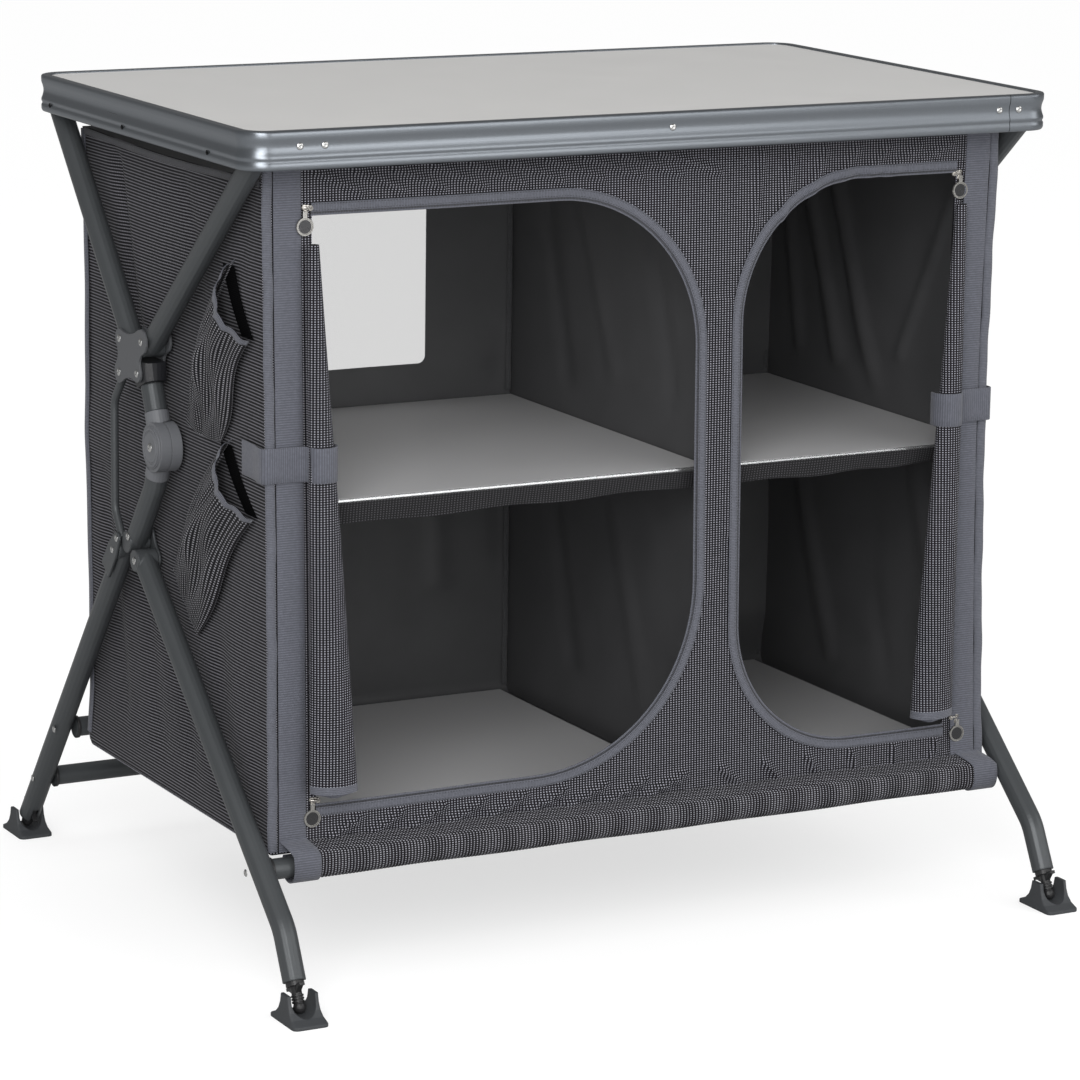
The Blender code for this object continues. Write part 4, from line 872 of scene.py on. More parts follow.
for side, sign in SIDES:
    centres = []
    for k in range(81):
        z = BAND_BOTTOM + 0.0010 + (BAND_TOP - BAND_BOTTOM - 0.0010) * k / 80
        waver = 0.0005 * math.sin(z * 55.0) + 0.0003 * math.sin(z * 131.0)
        centres.append(on_front(sign * (0.3943 + waver), z, 0.0003))
    front_trims.append(crumple(swept(f"{side}_corner_binding", centres,
                                     ((sign * 0.0049, 0, 0), (0, 0.0023, 0)), tape_finish)))


# Grey tape is sewn round each opening over the zip's own tape, whose coil edges the opening. It
# leaves out the hinge side, where the door itself is sewn on.
TAPE_WIDTH = 0.0085


def opening_path(side, inset):
    """The opening's edge without its hinge side, as points moved inwards by an inset."""
    (left, right, bottom, top), radii = DOORS[side]
    loop = rounded_outline(left + inset, right - inset, bottom + inset, top - inset,
                           [max(radius - inset, 0.001) for radius in radii], 24)
    lower_left, lower_right, upper_right, upper_left = (loop[k * 25:(k + 1) * 25] for k in range(4))
    if side == "left":
        path = lower_left[-1:] + lower_right + upper_right + upper_left[:1]
    else:
        path = upper_right[-1:] + upper_left + lower_left + lower_right[:1]
    return stepped(path, 0.006, closed=False)


def along_front(path, lift):
    """Centres, sideways and outward directions of a path on the front."""
    centres = [on_front(x, z, lift) for x, z in path]
    return centres, [way.cross(FORWARD).normalized() for way in ways(centres)], FORWARD


zip_black = grained("zip_coil", (0.030, 0.030, 0.034), 0.5, 0.0, 600.0, 0.00008)


def tooth_tree():
    """Geometry nodes that lay short rounded teeth across a path at a spacing."""
    tree, given = started_tree("zip_teeth", {"Path": "Geometry", "Spacing": "Float",
                                             "Tooth Radius": "Float", "Tooth Length": "Float",
                                             "Finish": "Material"})
    curve = wire(tree, "GeometryNodeMeshToCurve", {"Mesh": given["Path"]})
    even = wire(tree, "GeometryNodeResampleCurve", {"Curve": curve.outputs[0],
                                                    "Length": given["Spacing"]}, mode="LENGTH")
    tooth = wire(tree, "GeometryNodeMeshCylinder", {"Vertices": 8, "Radius": given["Tooth Radius"],
                                                    "Depth": given["Tooth Length"]})
    crosswise = wire(tree, "ShaderNodeVectorMath",
                     {0: wire(tree, "GeometryNodeInputTangent").outputs[0], 1: (0.0, 1.0, 0.0)},
                     operation="CROSS_PRODUCT")
    teeth = set_along(tree, even.outputs[0], tooth.outputs[0], crosswise.outputs[0])
    return ended_tree(tree, teeth, given["Finish"])


TEETH = tooth_tree()
TOOTH = {"Spacing": 0.0016, "Tooth Radius": 0.0005, "Tooth Length": 0.0022, "Finish": zip_black}
for side in DOORS:
    tape = strip(f"{side}_opening_tape", *along_front(opening_path(side, 0.0010 - TAPE_WIDTH / 2), 0.0008),
                 TAPE_WIDTH, 0.0010, tape_finish)
    zip_tape = strip(f"{side}_zip_tape", *along_front(opening_path(side, 0.0018), -0.0001), 0.0054,
                     0.0008, tape_finish)
    coil = bpy.data.meshes.new("coil")
    coil_points = along_front(opening_path(side, 0.0016), 0.0010)[0]
    coil.from_pydata(coil_points, [(k, k + 1) for k in range(len(coil_points) - 1)], [])
    teeth = grown(f"{side}_zip_teeth", coil, TEETH, TOOTH)
    front_trims += [crumple(piece) for piece in (tape, zip_tape, teeth)]


# Each door is rolled up sideways into a long cone, thin at its head and thick at its foot, where
# the grey tape of its hem and the turns of the roll show.
ROLLS = {"left": ((-0.3520, -0.3380), 1, 7.5), "right": ((0.3520, 0.3215), -1, 4.8)}
ROLL_TOP, ROLL_BOTTOM = 0.7000, 0.1880
ROLL_STATIONS = 70
TURN_STEPS = 30
ROLL_CLOTH = 0.00045
HEM_HEIGHT = 0.0110


def roll_section(side, share):
    """The roll's middle and half sizes in x and y, from its head (0) to its foot (1)."""
    top_x, bottom_x = ROLLS[side][0]
    z = ROLL_TOP + (ROLL_BOTTOM - ROLL_TOP) * share
    half_w = (0.0120 + (0.0500 - 0.0120) * share) / 2
    half_d = (0.0110 + (0.0300 - 0.0110) * share) / 2
    x = top_x + (bottom_x - top_x) * share
    return Vector((x, front_y(z) - 0.0022 - half_d, z)), half_w, half_d


for side, (_, hand, turns) in ROLLS.items():
    roll_steps = int(turns * TURN_STEPS)
    row = roll_steps + 1
    layer = 2 * row              # the outer and inner points of one station
    points = []
    for station in range(ROLL_STATIONS + 1):
        share = station / ROLL_STATIONS
        centre, half_w, half_d = roll_section(side, share)
        for inward in (0.0, ROLL_CLOTH):
            for step in range(row):
                wound = step / roll_steps
                angle = 2 * math.pi * turns * (wound - 1) + 0.10 * math.pi
                ridges = 0.022 * math.sin(7 * share + 3 * angle) + 0.012 * math.sin(8 * angle - 4 * share)
                reach = 0.14 + 0.86 * wound + ridges
                points.append(centre + Vector(((half_w * reach - inward) * math.cos(angle) * -hand,
                                               (half_d * reach - inward) * math.sin(angle),
                                               -0.0070 * (1 - wound) * share ** 6)))
    quads = []                   # first corner, the steps to its two neighbours, turned over or not
    for base in range(0, ROLL_STATIONS * layer, layer):
        quads += [(base + inner * row + step, 1, layer, inner)
                  for inner in (0, 1) for step in range(roll_steps)]
        quads += [(base, row, layer, 0), (base + roll_steps, row, layer, 1)]
    for base, turned in ((0, 0), (ROLL_STATIONS * layer, 1)):
        quads += [(base + step, 1, row, turned) for step in range(roll_steps)]
    faces = [(a, a + b, a + b + c, a + c)[::-1 if turned else 1] for a, b, c, turned in quads]
    outer = np.array(points).reshape(ROLL_STATIONS + 1, 2, row, 3)[:, 0]
    wraps = np.linalg.norm(np.diff(outer, axis=1), axis=2)[:, ::-1].cumsum(axis=1)[:, ::-1]
    wraps = np.concatenate([wraps, np.zeros((ROLL_STATIONS + 1, 1))], axis=1)   # from the free edge
    corners = np.array(faces)
    stations = corners // layer
    cuts = np.stack([wraps[stations, corners % row],
                     (ROLL_TOP - ROLL_BOTTOM) * (1 - stations / ROLL_STATIONS)], axis=-1)
    rolled = made_piece(f"{side}_rolled_door", points, faces, [charcoal, tape_finish], 60, cuts)
    hem_start = 1 - HEM_HEIGHT / (ROLL_TOP - ROLL_BOTTOM) - 0.004
    rolled.data.polygons.foreach_set("material_index",
                                     (stations.min(axis=1) / ROLL_STATIONS > hem_start).astype(int))
    rolled.data.update()
    crumple(rolled)
    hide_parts(f"{side}_door_roll")
    left, right, bottom, top = DOORS[side][0]
    outline_area(door_outlines[side]) + FLANGE * (top - bottom)


# One webbing strap on each side holds the rolled door. It comes round the cabinet's corner, over
# the band and round the roll, and its free end sticks to the side.
STRAP_Z = 0.4975
STRAP_WIDTH = 0.0330
STRAP_THICK = 0.0013


def curved(a, b, c, d, steps):
    """Points on a smooth line from b towards c (Catmull-Rom)."""
    return [((b * 2) + (c - a) * t + (a * 2 - b * 5 + c * 4 - d) * t * t
             + (b * 3 - a - c * 3 + d) * t * t * t) / 2 for t in (step / steps for step in range(steps))]


for side, sign in SIDES:
    roll_middle, half_w, half_d = roll_section(side, (ROLL_TOP - STRAP_Z) / (ROLL_TOP - ROLL_BOTTOM))
    face = front_y(STRAP_Z)
    edge = HALF_WIDTH + 0.0012 - (float(drawn_in(STRAP_Z)) if side == "right" else 0.0)
    roll_x = abs(roll_middle.x)
    inside_x = roll_x - half_w - 0.0014
    plan = [(edge - 0.0008, face + 0.048), (edge - 0.0004, face + 0.022),
            (edge + 0.0022, face + 0.006), (edge + 0.0012, face - 0.0030),
            (edge - 0.0060, face - 0.0046), (edge - 0.0200, face - 0.0034),
            (roll_x + half_w + 0.0016, face - 0.0055),
            (roll_x + half_w * 0.72, roll_middle.y - half_d * 0.80),
            (roll_x, roll_middle.y - half_d - 0.0014),
            (roll_x - half_w * 0.74, roll_middle.y - half_d * 0.78),
            (inside_x, roll_middle.y + 0.0010), (inside_x + 0.0006, face - 0.0022)]
    plan = [Vector((sign * x, y, STRAP_Z)) for x, y in plan]
    padded = [plan[0] * 2 - plan[1]] + plan + [plan[-1] * 2 - plan[-2]]
    path = [point for k in range(len(plan) - 1) for point in curved(*padded[k:k + 4], 6)] + plan[-1:]
    strap = crumple(strip(f"{side}_door_strap", path, UPWARD,
                          [(way.cross(UPWARD) * -sign).normalized() for way in ways(path)], STRAP_WIDTH,
                          STRAP_THICK, webbing_finish))
    run_along(path)[-1]


# The sides are the same cloth, a little slack between their corners, with a hollow upper edge.
# The rear corner has a flat bound seam.
SIDE_SAG = 0.0040
CABINET_BACK = 0.2085
BACK_CORNER = 0.0120
SIDE_FOLDS = {
    "left": [(0.130, 0.735, 0.060, 0.540, 0.011, 0.0048), (0.170, 0.420, 0.110, 0.200, 0.020, 0.0030),
             (0.130, 0.380, 0.080, 0.170, 0.016, -0.0026), (0.060, 0.330, 0.020, 0.180, 0.018, 0.0026),
             (-0.020, 0.300, -0.060, 0.160, 0.016, 0.0022), (-0.120, 0.300, -0.150, 0.150, 0.020, 0.0028),
             (-0.040, 0.730, -0.080, 0.640, 0.014, 0.0018), (-0.170, 0.280, -0.200, 0.160, 0.012, -0.0020),
             (0.020, 0.700, 0.000, 0.600, 0.012, -0.0016), (-0.190, 0.730, -0.160, 0.660, 0.014, 0.0018)],
    "right": [(0.150, 0.740, 0.060, 0.500, 0.011, 0.0042), (0.120, 0.730, 0.020, 0.480, 0.010, -0.0036),
              (0.090, 0.720, -0.020, 0.470, 0.011, 0.0040), (0.180, 0.700, 0.140, 0.500, 0.010, 0.0030),
              (-0.150, 0.690, -0.060, 0.520, 0.009, 0.0022), (0.150, 0.420, 0.060, 0.180, 0.014, 0.0030),
              (0.020, 0.400, -0.060, 0.170, 0.014, -0.0028), (-0.100, 0.400, -0.170, 0.200, 0.015, 0.0026)],
}
SIDE_SEAT = 0.0004           # how far the sides stand off the frame plates


def rear_drawn_in(z):
    """How far the cabinet's rear corners are drawn forwards at a height."""
    return np.interp(z, (0.13, 0.145, 0.19, 0.30, 0.42, 0.45, 0.462, 0.50, 0.60, 0.68, 0.76),
                     (0.0040, 0.0050, 0.0120, 0.0112, 0.0060, 0.0036, 0.0036, 0.0056, 0.0066, 0.0045, 0.0))


def calm(z):
    """0 where a board or the floor holds the cloth still, 1 between."""
    still = np.ones_like(z)
    for level, reach in ((0.456, 0.030), (0.134, 0.025), (0.760, 0.012)):
        still = still * (1 - np.exp(-((z - level) / reach) ** 2))
    return still


def side_shape(side):
    """The side's points for y, z and a depth into the cloth; folds go inwards."""
    sign = -1 if side == "left" else 1

    def shape(u, v, depth):
        folds = creased(u, v, SIDE_FOLDS[side])
        inward = calm(v) * (np.abs(folds) * 0.4 + folds + 0.0010 + 0.0010 * np.sin(u * 33 + v * 14))
        inward = np.maximum(inward, 0.0) + SIDE_SEAT
        if side == "right":
            inward = inward + drawn_in(v) * eased_step(-u, 0.090, 0.215)
        y = u - rear_drawn_in(v) * eased_step(u, 0.100, 0.200)
        return np.stack([sign * (HALF_WIDTH - inward - depth), y, v], axis=-1)
    return shape


def side_outline():
    """The side as (y, z), with its hollow upper edge and round lower rear corner."""
    low = CABINET_FLOOR + 0.0018
    rear = CABINET_BACK - 0.0018
    radius = BACK_CORNER - 0.0018
    outline = [(front_y(low) + 0.0018, low)]
    outline += arc_points((rear - radius, low + radius), radius, 270, 360, 6)
    front_top = front_y(CABINET_TOP) + 0.0018
    for step in range(25):
        share = step / 24
        outline.append((rear + (front_top - rear) * share,
                        CABINET_TOP - SIDE_SAG * math.sin(math.pi * share)))
    return outline


side_cut = side_outline()
side_cloth = lattice_cloth("side_cloth", (0.0050, 0.0047, 0.0062), (0.150, 0.148, 0.164), ROW_PITCH,
                           COLUMN_PITCH, True)
hem_finish = ribbed_webbing("dark_hem_tape", (0.040, 0.041, 0.050), 0.0016, 0.0013, 0.0022)
REAR_SEAM = (0.1420, 0.7580)                 # its lower and upper end
HEM_INSET, HEM_WIDTH, HEM_THICK = 0.0060, 0.0066, 0.0011
for side, sign in SIDES:
    wall = crumple(cut_sheet(f"{side}_side_cloth", side_cut, [], side_shape(side), 0.0060,
                             [side_cloth, lining]))
    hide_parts(f"{side}_side_panel")
    rear_line, hem_line = [], []
    for k in range(61):
        z = REAR_SEAM[0] + (REAR_SEAM[1] - REAR_SEAM[0]) * k / 60
        y = CABINET_BACK - 0.0030 - float(rear_drawn_in(z)) + 0.0004 * math.sin(z * 60)
        rear_line.append(Vector((sign * (HALF_WIDTH + 0.0004), y, z)))
        y = CABINET_BACK - HEM_INSET - (CABINET_BACK - HEM_INSET - FRONT_TOP_Y - HEM_INSET) * k / 60
        top = CABINET_TOP - SIDE_SAG * math.sin(math.pi * k / 60)
        hem_line.append(Vector(side_shape(side)(np.array([y]), np.array([top - 0.0036]), -0.0004)[0]))
    trims = [crumple(swept(f"{side}_rear_binding", rear_line, ((sign * 0.0016, 0, 0), (0, 0.0046, 0)),
                           tape_finish)),
             crumple(strip(f"{side}_top_hem", hem_line, UPWARD, Vector((sign, 0, 0)), HEM_WIDTH,
                           HEM_THICK, hem_finish))]
    outline_area(side_cut)


# The left side carries two pockets one over the other, with steep mouths towards the front. Each
# mouth sags open and is bound with grey tape, and the pocket's cloth hangs in deep folds.
POCKETS = {               # mouth's upper and lower end, foot's front and rear corner, as (y, z)
    "upper_pocket": ((-0.1585, 0.6745), (-0.2040, 0.6090), (-0.1330, 0.5030), (-0.0500, 0.5060)),
    "lower_pocket": ((-0.1520, 0.5050), (-0.2140, 0.4435), (-0.0760, 0.3040), (-0.0180, 0.3560)),
}
POCKET_GAPE = 0.0150
POCKET_WIDE, POCKET_TALL = 0.090, 0.150       # the drawn-up pocket, on which its cut is laid out
MOUTH_LENGTH = 0.0800
MOUTH_START, MOUTH_END = -0.0020, 0.0240      # of the painted shade sheet behind a mouth
MOUTH_TAPE = (0.0074, 0.0011)                 # width and thickness of a mouth's binding
TAB = 0.0050                                  # how far a mouth's binding runs past its ends
OUTWARD = Vector((-1, 0, 0))
pocket_cloth = lattice_cloth("pocket_cloth", (0.0050, 0.0047, 0.0062), (0.270, 0.268, 0.292), 0.0031,
                             0.0027)
# A near-black copy of the cloth, laid on the side behind each mouth as painted shade for the pocket's open
# hollow.
pocket_shade = lattice_cloth("pocket_painted_shade", (0.0015, 0.0015, 0.0018), (0.0060, 0.0060, 0.0068),
                             sheen=0.0, gleam=0.05)


def pocket_shape(corners):
    """The pocket's points for shares from its rear to its front (s) and down from its mouth (t)."""
    (top_y, top_z), (lip_y, lip_z), (toe_y, toe_z), (heel_y, heel_z) = corners

    def shape(s, t, depth):
        s, t = np.clip(s, 0, 0.9999), np.clip(t, 0, 0.9999)
        sag = np.sin(math.pi * s) ** 0.9
        head_y = top_y + (lip_y - top_y) * s + 0.0240 * sag + 0.0012 * np.sin(26 * s)
        head_z = top_z + (lip_z - top_z) * s - 0.0060 * sag + 0.0014 * np.sin(31 * s + 1)
        foot_y = heel_y + (toe_y - heel_y) * s
        foot_z = heel_z + (toe_z - heel_z) * s - 0.0040 * np.sin(math.pi * s)
        belly = 0.0160 * np.sin(math.pi * t) * (1 - s)
        hollow = 0.0080 * np.sin(2 * math.pi * t) * s
        y = head_y + (foot_y - head_y) * t + belly + hollow
        z = head_z + (foot_z - head_z) * t
        stand = np.minimum(np.sin(math.pi * s * 0.98) ** 0.55, 1.0)
        bulge = stand * (POCKET_GAPE * (1 - t) ** 1.1 + 0.0090 * np.sin(math.pi * t) ** 0.8)
        folds = (0.0030 * np.sin(11 * s + 5.0 * t + 0.6) + 0.0022 * np.sin(19 * s - 6.5 * t + 2.0)
                 + 0.0012 * np.sin(34 * s + 9.0 * t))
        folds = folds * stand * np.sin(math.pi * np.clip(t * 0.92 + 0.06, 0, 1)) ** 0.7
        x = -(HALF_WIDTH + 0.0010 + bulge + folds - depth)
        return np.stack([x, y, z], axis=-1)
    return shape


for name, corners in POCKETS.items():
    shape = pocket_shape(corners)

    def laid_out(u, v, depth, shape=shape):
        return shape(u / POCKET_WIDE, 1 - v / POCKET_TALL, depth)

    def mouth_shade(u, v, depth, corners=corners):
        (top_y, top_z), (lip_y, lip_z) = corners[:2]
        share = np.clip(v / MOUTH_LENGTH, 0, 1)
        y = top_y + (lip_y - top_y) * share + u + 0.0030 * np.sin(math.pi * share)
        z = top_z + (lip_z - top_z) * share - 0.0030 * np.sin(math.pi * share)
        return np.stack([np.full_like(u, -(HALF_WIDTH + 0.0004 - depth)), y, z], axis=-1)

    cut = [(0.0, 0.0), (POCKET_WIDE, 0.0), (POCKET_WIDE, POCKET_TALL), (0.0, POCKET_TALL)]
    pocket = crumple(cut_sheet(f"left_{name}", cut, [], laid_out, 0.0028, [pocket_cloth], 0.0008))
    hem, downs = [], []
    for k in range(61):
        top, lower = (Vector(shape(np.array([k / 60]), np.array([t]), -0.0006)[0]) for t in (0.0, 0.06))
        downs.append((lower - top).normalized())
        hem.append(top + downs[-1] * 0.0030)
    lift = OUTWARD * 0.0012
    hem = ([hem[0] + (hem[0] - hem[3]).normalized() * TAB + lift] + hem
           + [hem[-2] + (hem[-1] - hem[-4]).normalized() * TAB + lift])
    binding = crumple(strip(f"left_{name}_binding", hem, downs[:1] + downs + downs[-2:-1], OUTWARD,
                            *MOUTH_TAPE, tape_finish))
    # The painted shade sheet: a near-black patch on the side, where the open mouth falls into shadow.
    cut = [(MOUTH_START, 0.0020), (MOUTH_END, 0.0020), (MOUTH_END, MOUTH_LENGTH - 0.0020),
           (MOUTH_START, MOUTH_LENGTH - 0.0020)]
    deep = crumple(cut_sheet(f"left_{name}_inside", cut, [], mouth_shade, 0.0040, [pocket_shade], 0.0004))


# The back and the cabinet's floor are one length of cloth that turns up at the rear. A clear
# plastic window is sewn into the back's left half.
WINDOW = (-0.2820, -0.0180, 0.4950, 0.6650)
WINDOW_RADIUS = 0.0080
WINDOW_LAP = 0.0060
FLOOR_FRONT = front_y(CABINET_FLOOR) + 0.0018
FLOOR_RUN = CABINET_BACK - BACK_CORNER - FLOOR_FRONT
TURN_RUN = BACK_CORNER * math.pi / 2
BACK_RISE = CABINET_TOP - CABINET_FLOOR - BACK_CORNER
BACK_FOLDS = [(-0.30 + 0.075 * k, FLOOR_RUN + 0.12 + 0.02 * (k % 3), -0.33 + 0.080 * k,
               FLOOR_RUN + 0.33 + 0.03 * (k % 2), 0.012, 0.0026 * (-1) ** k) for k in range(9)]
BACK_FOLDS += [(-0.25 + 0.08 * k, FLOOR_RUN + 0.55, -0.23 + 0.08 * k, FLOOR_RUN + 0.64, 0.010, 0.0016)
               for k in range(8)]


def back_shape(u, v, depth):
    """Points for x and the distance along the floor, round the turn and up the back."""
    turn = np.clip((v - FLOOR_RUN) / TURN_RUN, 0, 1) * math.pi / 2
    rise = np.maximum(v - FLOOR_RUN - TURN_RUN, 0)
    radius = BACK_CORNER - depth
    y = np.where(v < FLOOR_RUN, FLOOR_FRONT + v, CABINET_BACK - BACK_CORNER + radius * np.sin(turn))
    z = CABINET_FLOOR + BACK_CORNER - radius * np.cos(turn) + rise
    climb = np.clip(rise / 0.05, 0, 1) * calm(z)
    y = y - climb * np.maximum(creased(u, v, BACK_FOLDS) + 0.0014 + 0.0010 * np.sin(u * 19), 0)
    y = y - np.where(v > FLOOR_RUN, rear_drawn_in(z) * eased_step(np.abs(u), 0.300, HALF_WIDTH), 0.0)
    return np.stack([u, y, z], axis=-1)


def up_back(z):
    """Distance along the cloth of a height on the back."""
    return FLOOR_RUN + TURN_RUN + z - CABINET_FLOOR - BACK_CORNER


back_length = FLOOR_RUN + TURN_RUN + BACK_RISE
back_cut = [(-HALF_WIDTH, 0.0), (HALF_WIDTH, 0.0), (HALF_WIDTH, back_length), (-HALF_WIDTH, back_length)]
window_cut, pane_cut = (
    rounded_outline(WINDOW[0] - lap, WINDOW[1] + lap, up_back(WINDOW[2]) - lap, up_back(WINDOW[3]) + lap,
                    [WINDOW_RADIUS] * 4, 5) for lap in (0.0, WINDOW_LAP))
back_cloth = crumple(cut_sheet("back_cloth", back_cut, [window_cut], back_shape, 0.0070,
                               [charcoal, lining]))
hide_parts("back_panel")
outline_area(back_cut) - outline_area(window_cut)

window_finish, window_tree, window_shader = start_finish("window_film", 0.12)
window_shader.inputs["Base Color"].default_value = (0.10, 0.10, 0.10, 1.0)
window_shader.inputs["Alpha"].default_value = 0.20
window_bump = wire(window_tree, "ShaderNodeBump", {"Height": speckle(window_tree, 9.0),
                                                   "Strength": 0.4, "Distance": 0.0008})
window_tree.links.new(window_bump.outputs[0], window_shader.inputs["Normal"])
pane = crumple(cut_sheet("window_pane", pane_cut, [],
                         lambda u, v, depth: back_shape(u, v, depth - 0.0008), 0.0100, [window_finish],
                         0.0004))


# A cloth wall of black lining divides the cabinet. Narrow cloth ledges are sewn to it and to the
# sides for the shelves, a slack strip of cloth hangs along each shelf's front, and taped seams
# close the rear corners.
SHELF_TOP = 0.4560
SHELF_FRONT, SHELF_REAR = -0.2125, 0.2025
SHELF_THICK = 0.0060
DIVIDER_FOLDS = [(0.150, 0.720, 0.080, 0.500, 0.014, 0.0030), (0.060, 0.700, -0.020, 0.520, 0.012, -0.0026),
                 (-0.080, 0.700, -0.140, 0.520, 0.013, 0.0028), (0.120, 0.400, 0.060, 0.200, 0.015, 0.0030),
                 (-0.020, 0.390, -0.090, 0.200, 0.014, -0.0026)]


def divider_shape(u, v, depth):
    """The divider's points for y, z and a depth."""
    sway = calm(v) * creased(u, v, DIVIDER_FOLDS)
    return np.stack([DIVIDER_X - CLOTH / 2 + sway + depth, u, v], axis=-1)


divider = crumple(cut_sheet("divider_cloth", side_cut, [], divider_shape, 0.0070, [lining, lining]))
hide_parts("divider_panel")

seam_finish = ribbed_webbing("seam_tape", (0.046, 0.047, 0.050), 0.0016, 0.0011)
SHELF_SPANS = {"left": (-0.3970, 0.0820), "right": (0.0840, 0.3970)}
LEDGE_TOP = SHELF_TOP - SHELF_THICK - 0.0006
for name, wall_x, inward in (("left_side", SHELF_SPANS["left"][0], 1),
                             ("left_divider", SHELF_SPANS["left"][1], -1),
                             ("right_divider", SHELF_SPANS["right"][0], 1),
                             ("right_side", SHELF_SPANS["right"][1], -1)):
    stations = [SHELF_FRONT + 0.006 + (SHELF_REAR - SHELF_FRONT - 0.012) * k / 30 for k in range(31)]
    path = [Vector((wall_x + inward * 0.0036, y, LEDGE_TOP - 0.0090 - 0.0006 * math.sin(y * 40)))
            for y in stations]
    crumple(swept(f"{name}_ledge", path, ((0.0034 * inward, 0, 0), (0, 0, 0.0088)),
                                       lining))

SEAMS = {"left": DIVIDER_X - CLOTH - 0.0034, "right": HALF_WIDTH - 0.0050}
for side, x in SEAMS.items():
    for level, (low, high) in (("lower", (0.1400, 0.4460)), ("upper", (0.4600, 0.7520))):
        path = [Vector((x, CABINET_BACK - 0.0052 - 0.0004 * math.sin(k * 0.9),
                        low + (high - low) * k / 40)) for k in range(41)]
        crumple(swept(f"{side}_{level}_seam", path,
                                           ((0.0030, 0, 0), (0, 0.0016, 0)), seam_finish))
outline_area(side_cut)

FLAP_Y = -0.2165
FLAPS = {"left": (0.0200, 0.0034), "right": (0.0165, 0.0045)}     # drop, and rise over the ledge
for side, (drop, rise) in FLAPS.items():
    start = SHELF_SPANS[side][0] + 0.002
    width = SHELF_SPANS[side][1] - SHELF_SPANS[side][0] - 0.004

    def flap_shape(u, v, depth, start=start, width=width, drop=drop, rise=rise, side=side):
        share = u / width
        slack = 1.12 - 0.32 * share if side == "left" else 1.0 + 0.10 * np.sin(share * 5)
        hang = v * slack * (1 + 0.06 * np.sin(share * 21))
        y = FLAP_Y + 0.0040 * v / drop - 0.0009 * np.sin(share * 27 + v * 90) * v / drop - depth
        return np.stack([start + u, y, LEDGE_TOP + rise - hang], axis=-1)

    # Each strip takes the darkened cloth, as painted shade under the shelf's edge.
    flap = crumple(cut_sheet(f"{side}_shelf_flap", [(0, 0), (width, 0), (width, drop), (0, drop)], [],
                             flap_shape, 0.0050, [shaded_cloth], 0.0008))


# The shelves and bottom boards are thin stiff panels with a mid-grey satin face. A bright
# aluminium strip covers each board's front edge.
board_face = grained("board_face", (0.470, 0.468, 0.474), 0.34, 0.0, 300.0, 0.00008, mottle=0.03,
                     cloud=7.0)
edge_metal = brushed("edge_strip_metal", (0.80, 0.81, 0.82), 0.26)
EDGE_INSET, EDGE_WIDTH, EDGE_THICK = 0.003, 0.0062, 0.0010
boards = [f"{side}_{kind}" for side, _ in SIDES for kind in ("shelf", "floor_board")]
dress(boards, board_face)
for name in boards:
    low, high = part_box(name)
    path = [Vector((low[0] + EDGE_INSET + (high[0] - low[0] - 2 * EDGE_INSET) * k / 40,
                    low[1] - 0.0002, (low[2] + high[2]) / 2)) for k in range(41)]
    fitted(strip(f"{name}_edge", path, UPWARD, FORWARD, EDGE_WIDTH, EDGE_THICK, edge_metal), name)


# A sleeve of the lattice cloth hangs from the front's lower edge and holds the front bar, gathered
# in fine rings. At each end a webbing strap comes down from the band and goes round the bar.
BAR_AXIS = Vector((-0.2455, 0.1165))          # the front bar's middle, as (y, z)
SLEEVE_START, SLEEVE_END = -0.3720, 0.3880
SLEEVE_THICK = 0.0009
SLEEVE_RINGS = 640
SLEEVE_SECTION = (       # from the front's seam forwards, down, round the bar and up behind, as (y, z)
    (-0.2398, 0.1385), (-0.2450, 0.1369), (-0.2500, 0.1345), (-0.2542, 0.1316), (-0.2568, 0.1280),
    (-0.2581, 0.1235), (-0.2584, 0.1180), (-0.2576, 0.1122), (-0.2552, 0.1076), (-0.2510, 0.1046),
    (-0.2455, 0.1034), (-0.2402, 0.1046), (-0.2362, 0.1076), (-0.2338, 0.1120), (-0.2333, 0.1170),
    (-0.2343, 0.1220), (-0.2362, 0.1262), (-0.2385, 0.1305))
APRON_REACH = 0.0180     # how far the cloth slopes down before it goes round the bar
BIAS = 0.8               # how far its threads run askew there, for each metre down
LOOPS = {"left": (-0.3750, -0.3677), "right": (0.3748, 0.3879)}     # middle at the band and at the bar
LOOP_WIDTH = 0.0278
COLLAR_X = 0.4008
COLLAR_STEPS = ((-0.0018, 0.0101), (-0.0014, 0.0116), (0.0014, 0.0116), (0.0018, 0.0101))
sleeve_cloth = lattice_cloth("sleeve_cloth", (0.0050, 0.0047, 0.0062), (0.290, 0.288, 0.318), 0.0033,
                             0.0021)


def around(reach=0.0):
    """The sleeve's section as a closed smooth line, moved outwards from the bar by a reach."""
    line, count = [], len(SLEEVE_SECTION)
    for k in range(count):
        near = [Vector(SLEEVE_SECTION[(k + offset) % count]) for offset in (-1, 0, 1, 2)]
        line += curved(*near, 2)
    return [point + (point - BAR_AXIS).normalized() * reach for point in line]


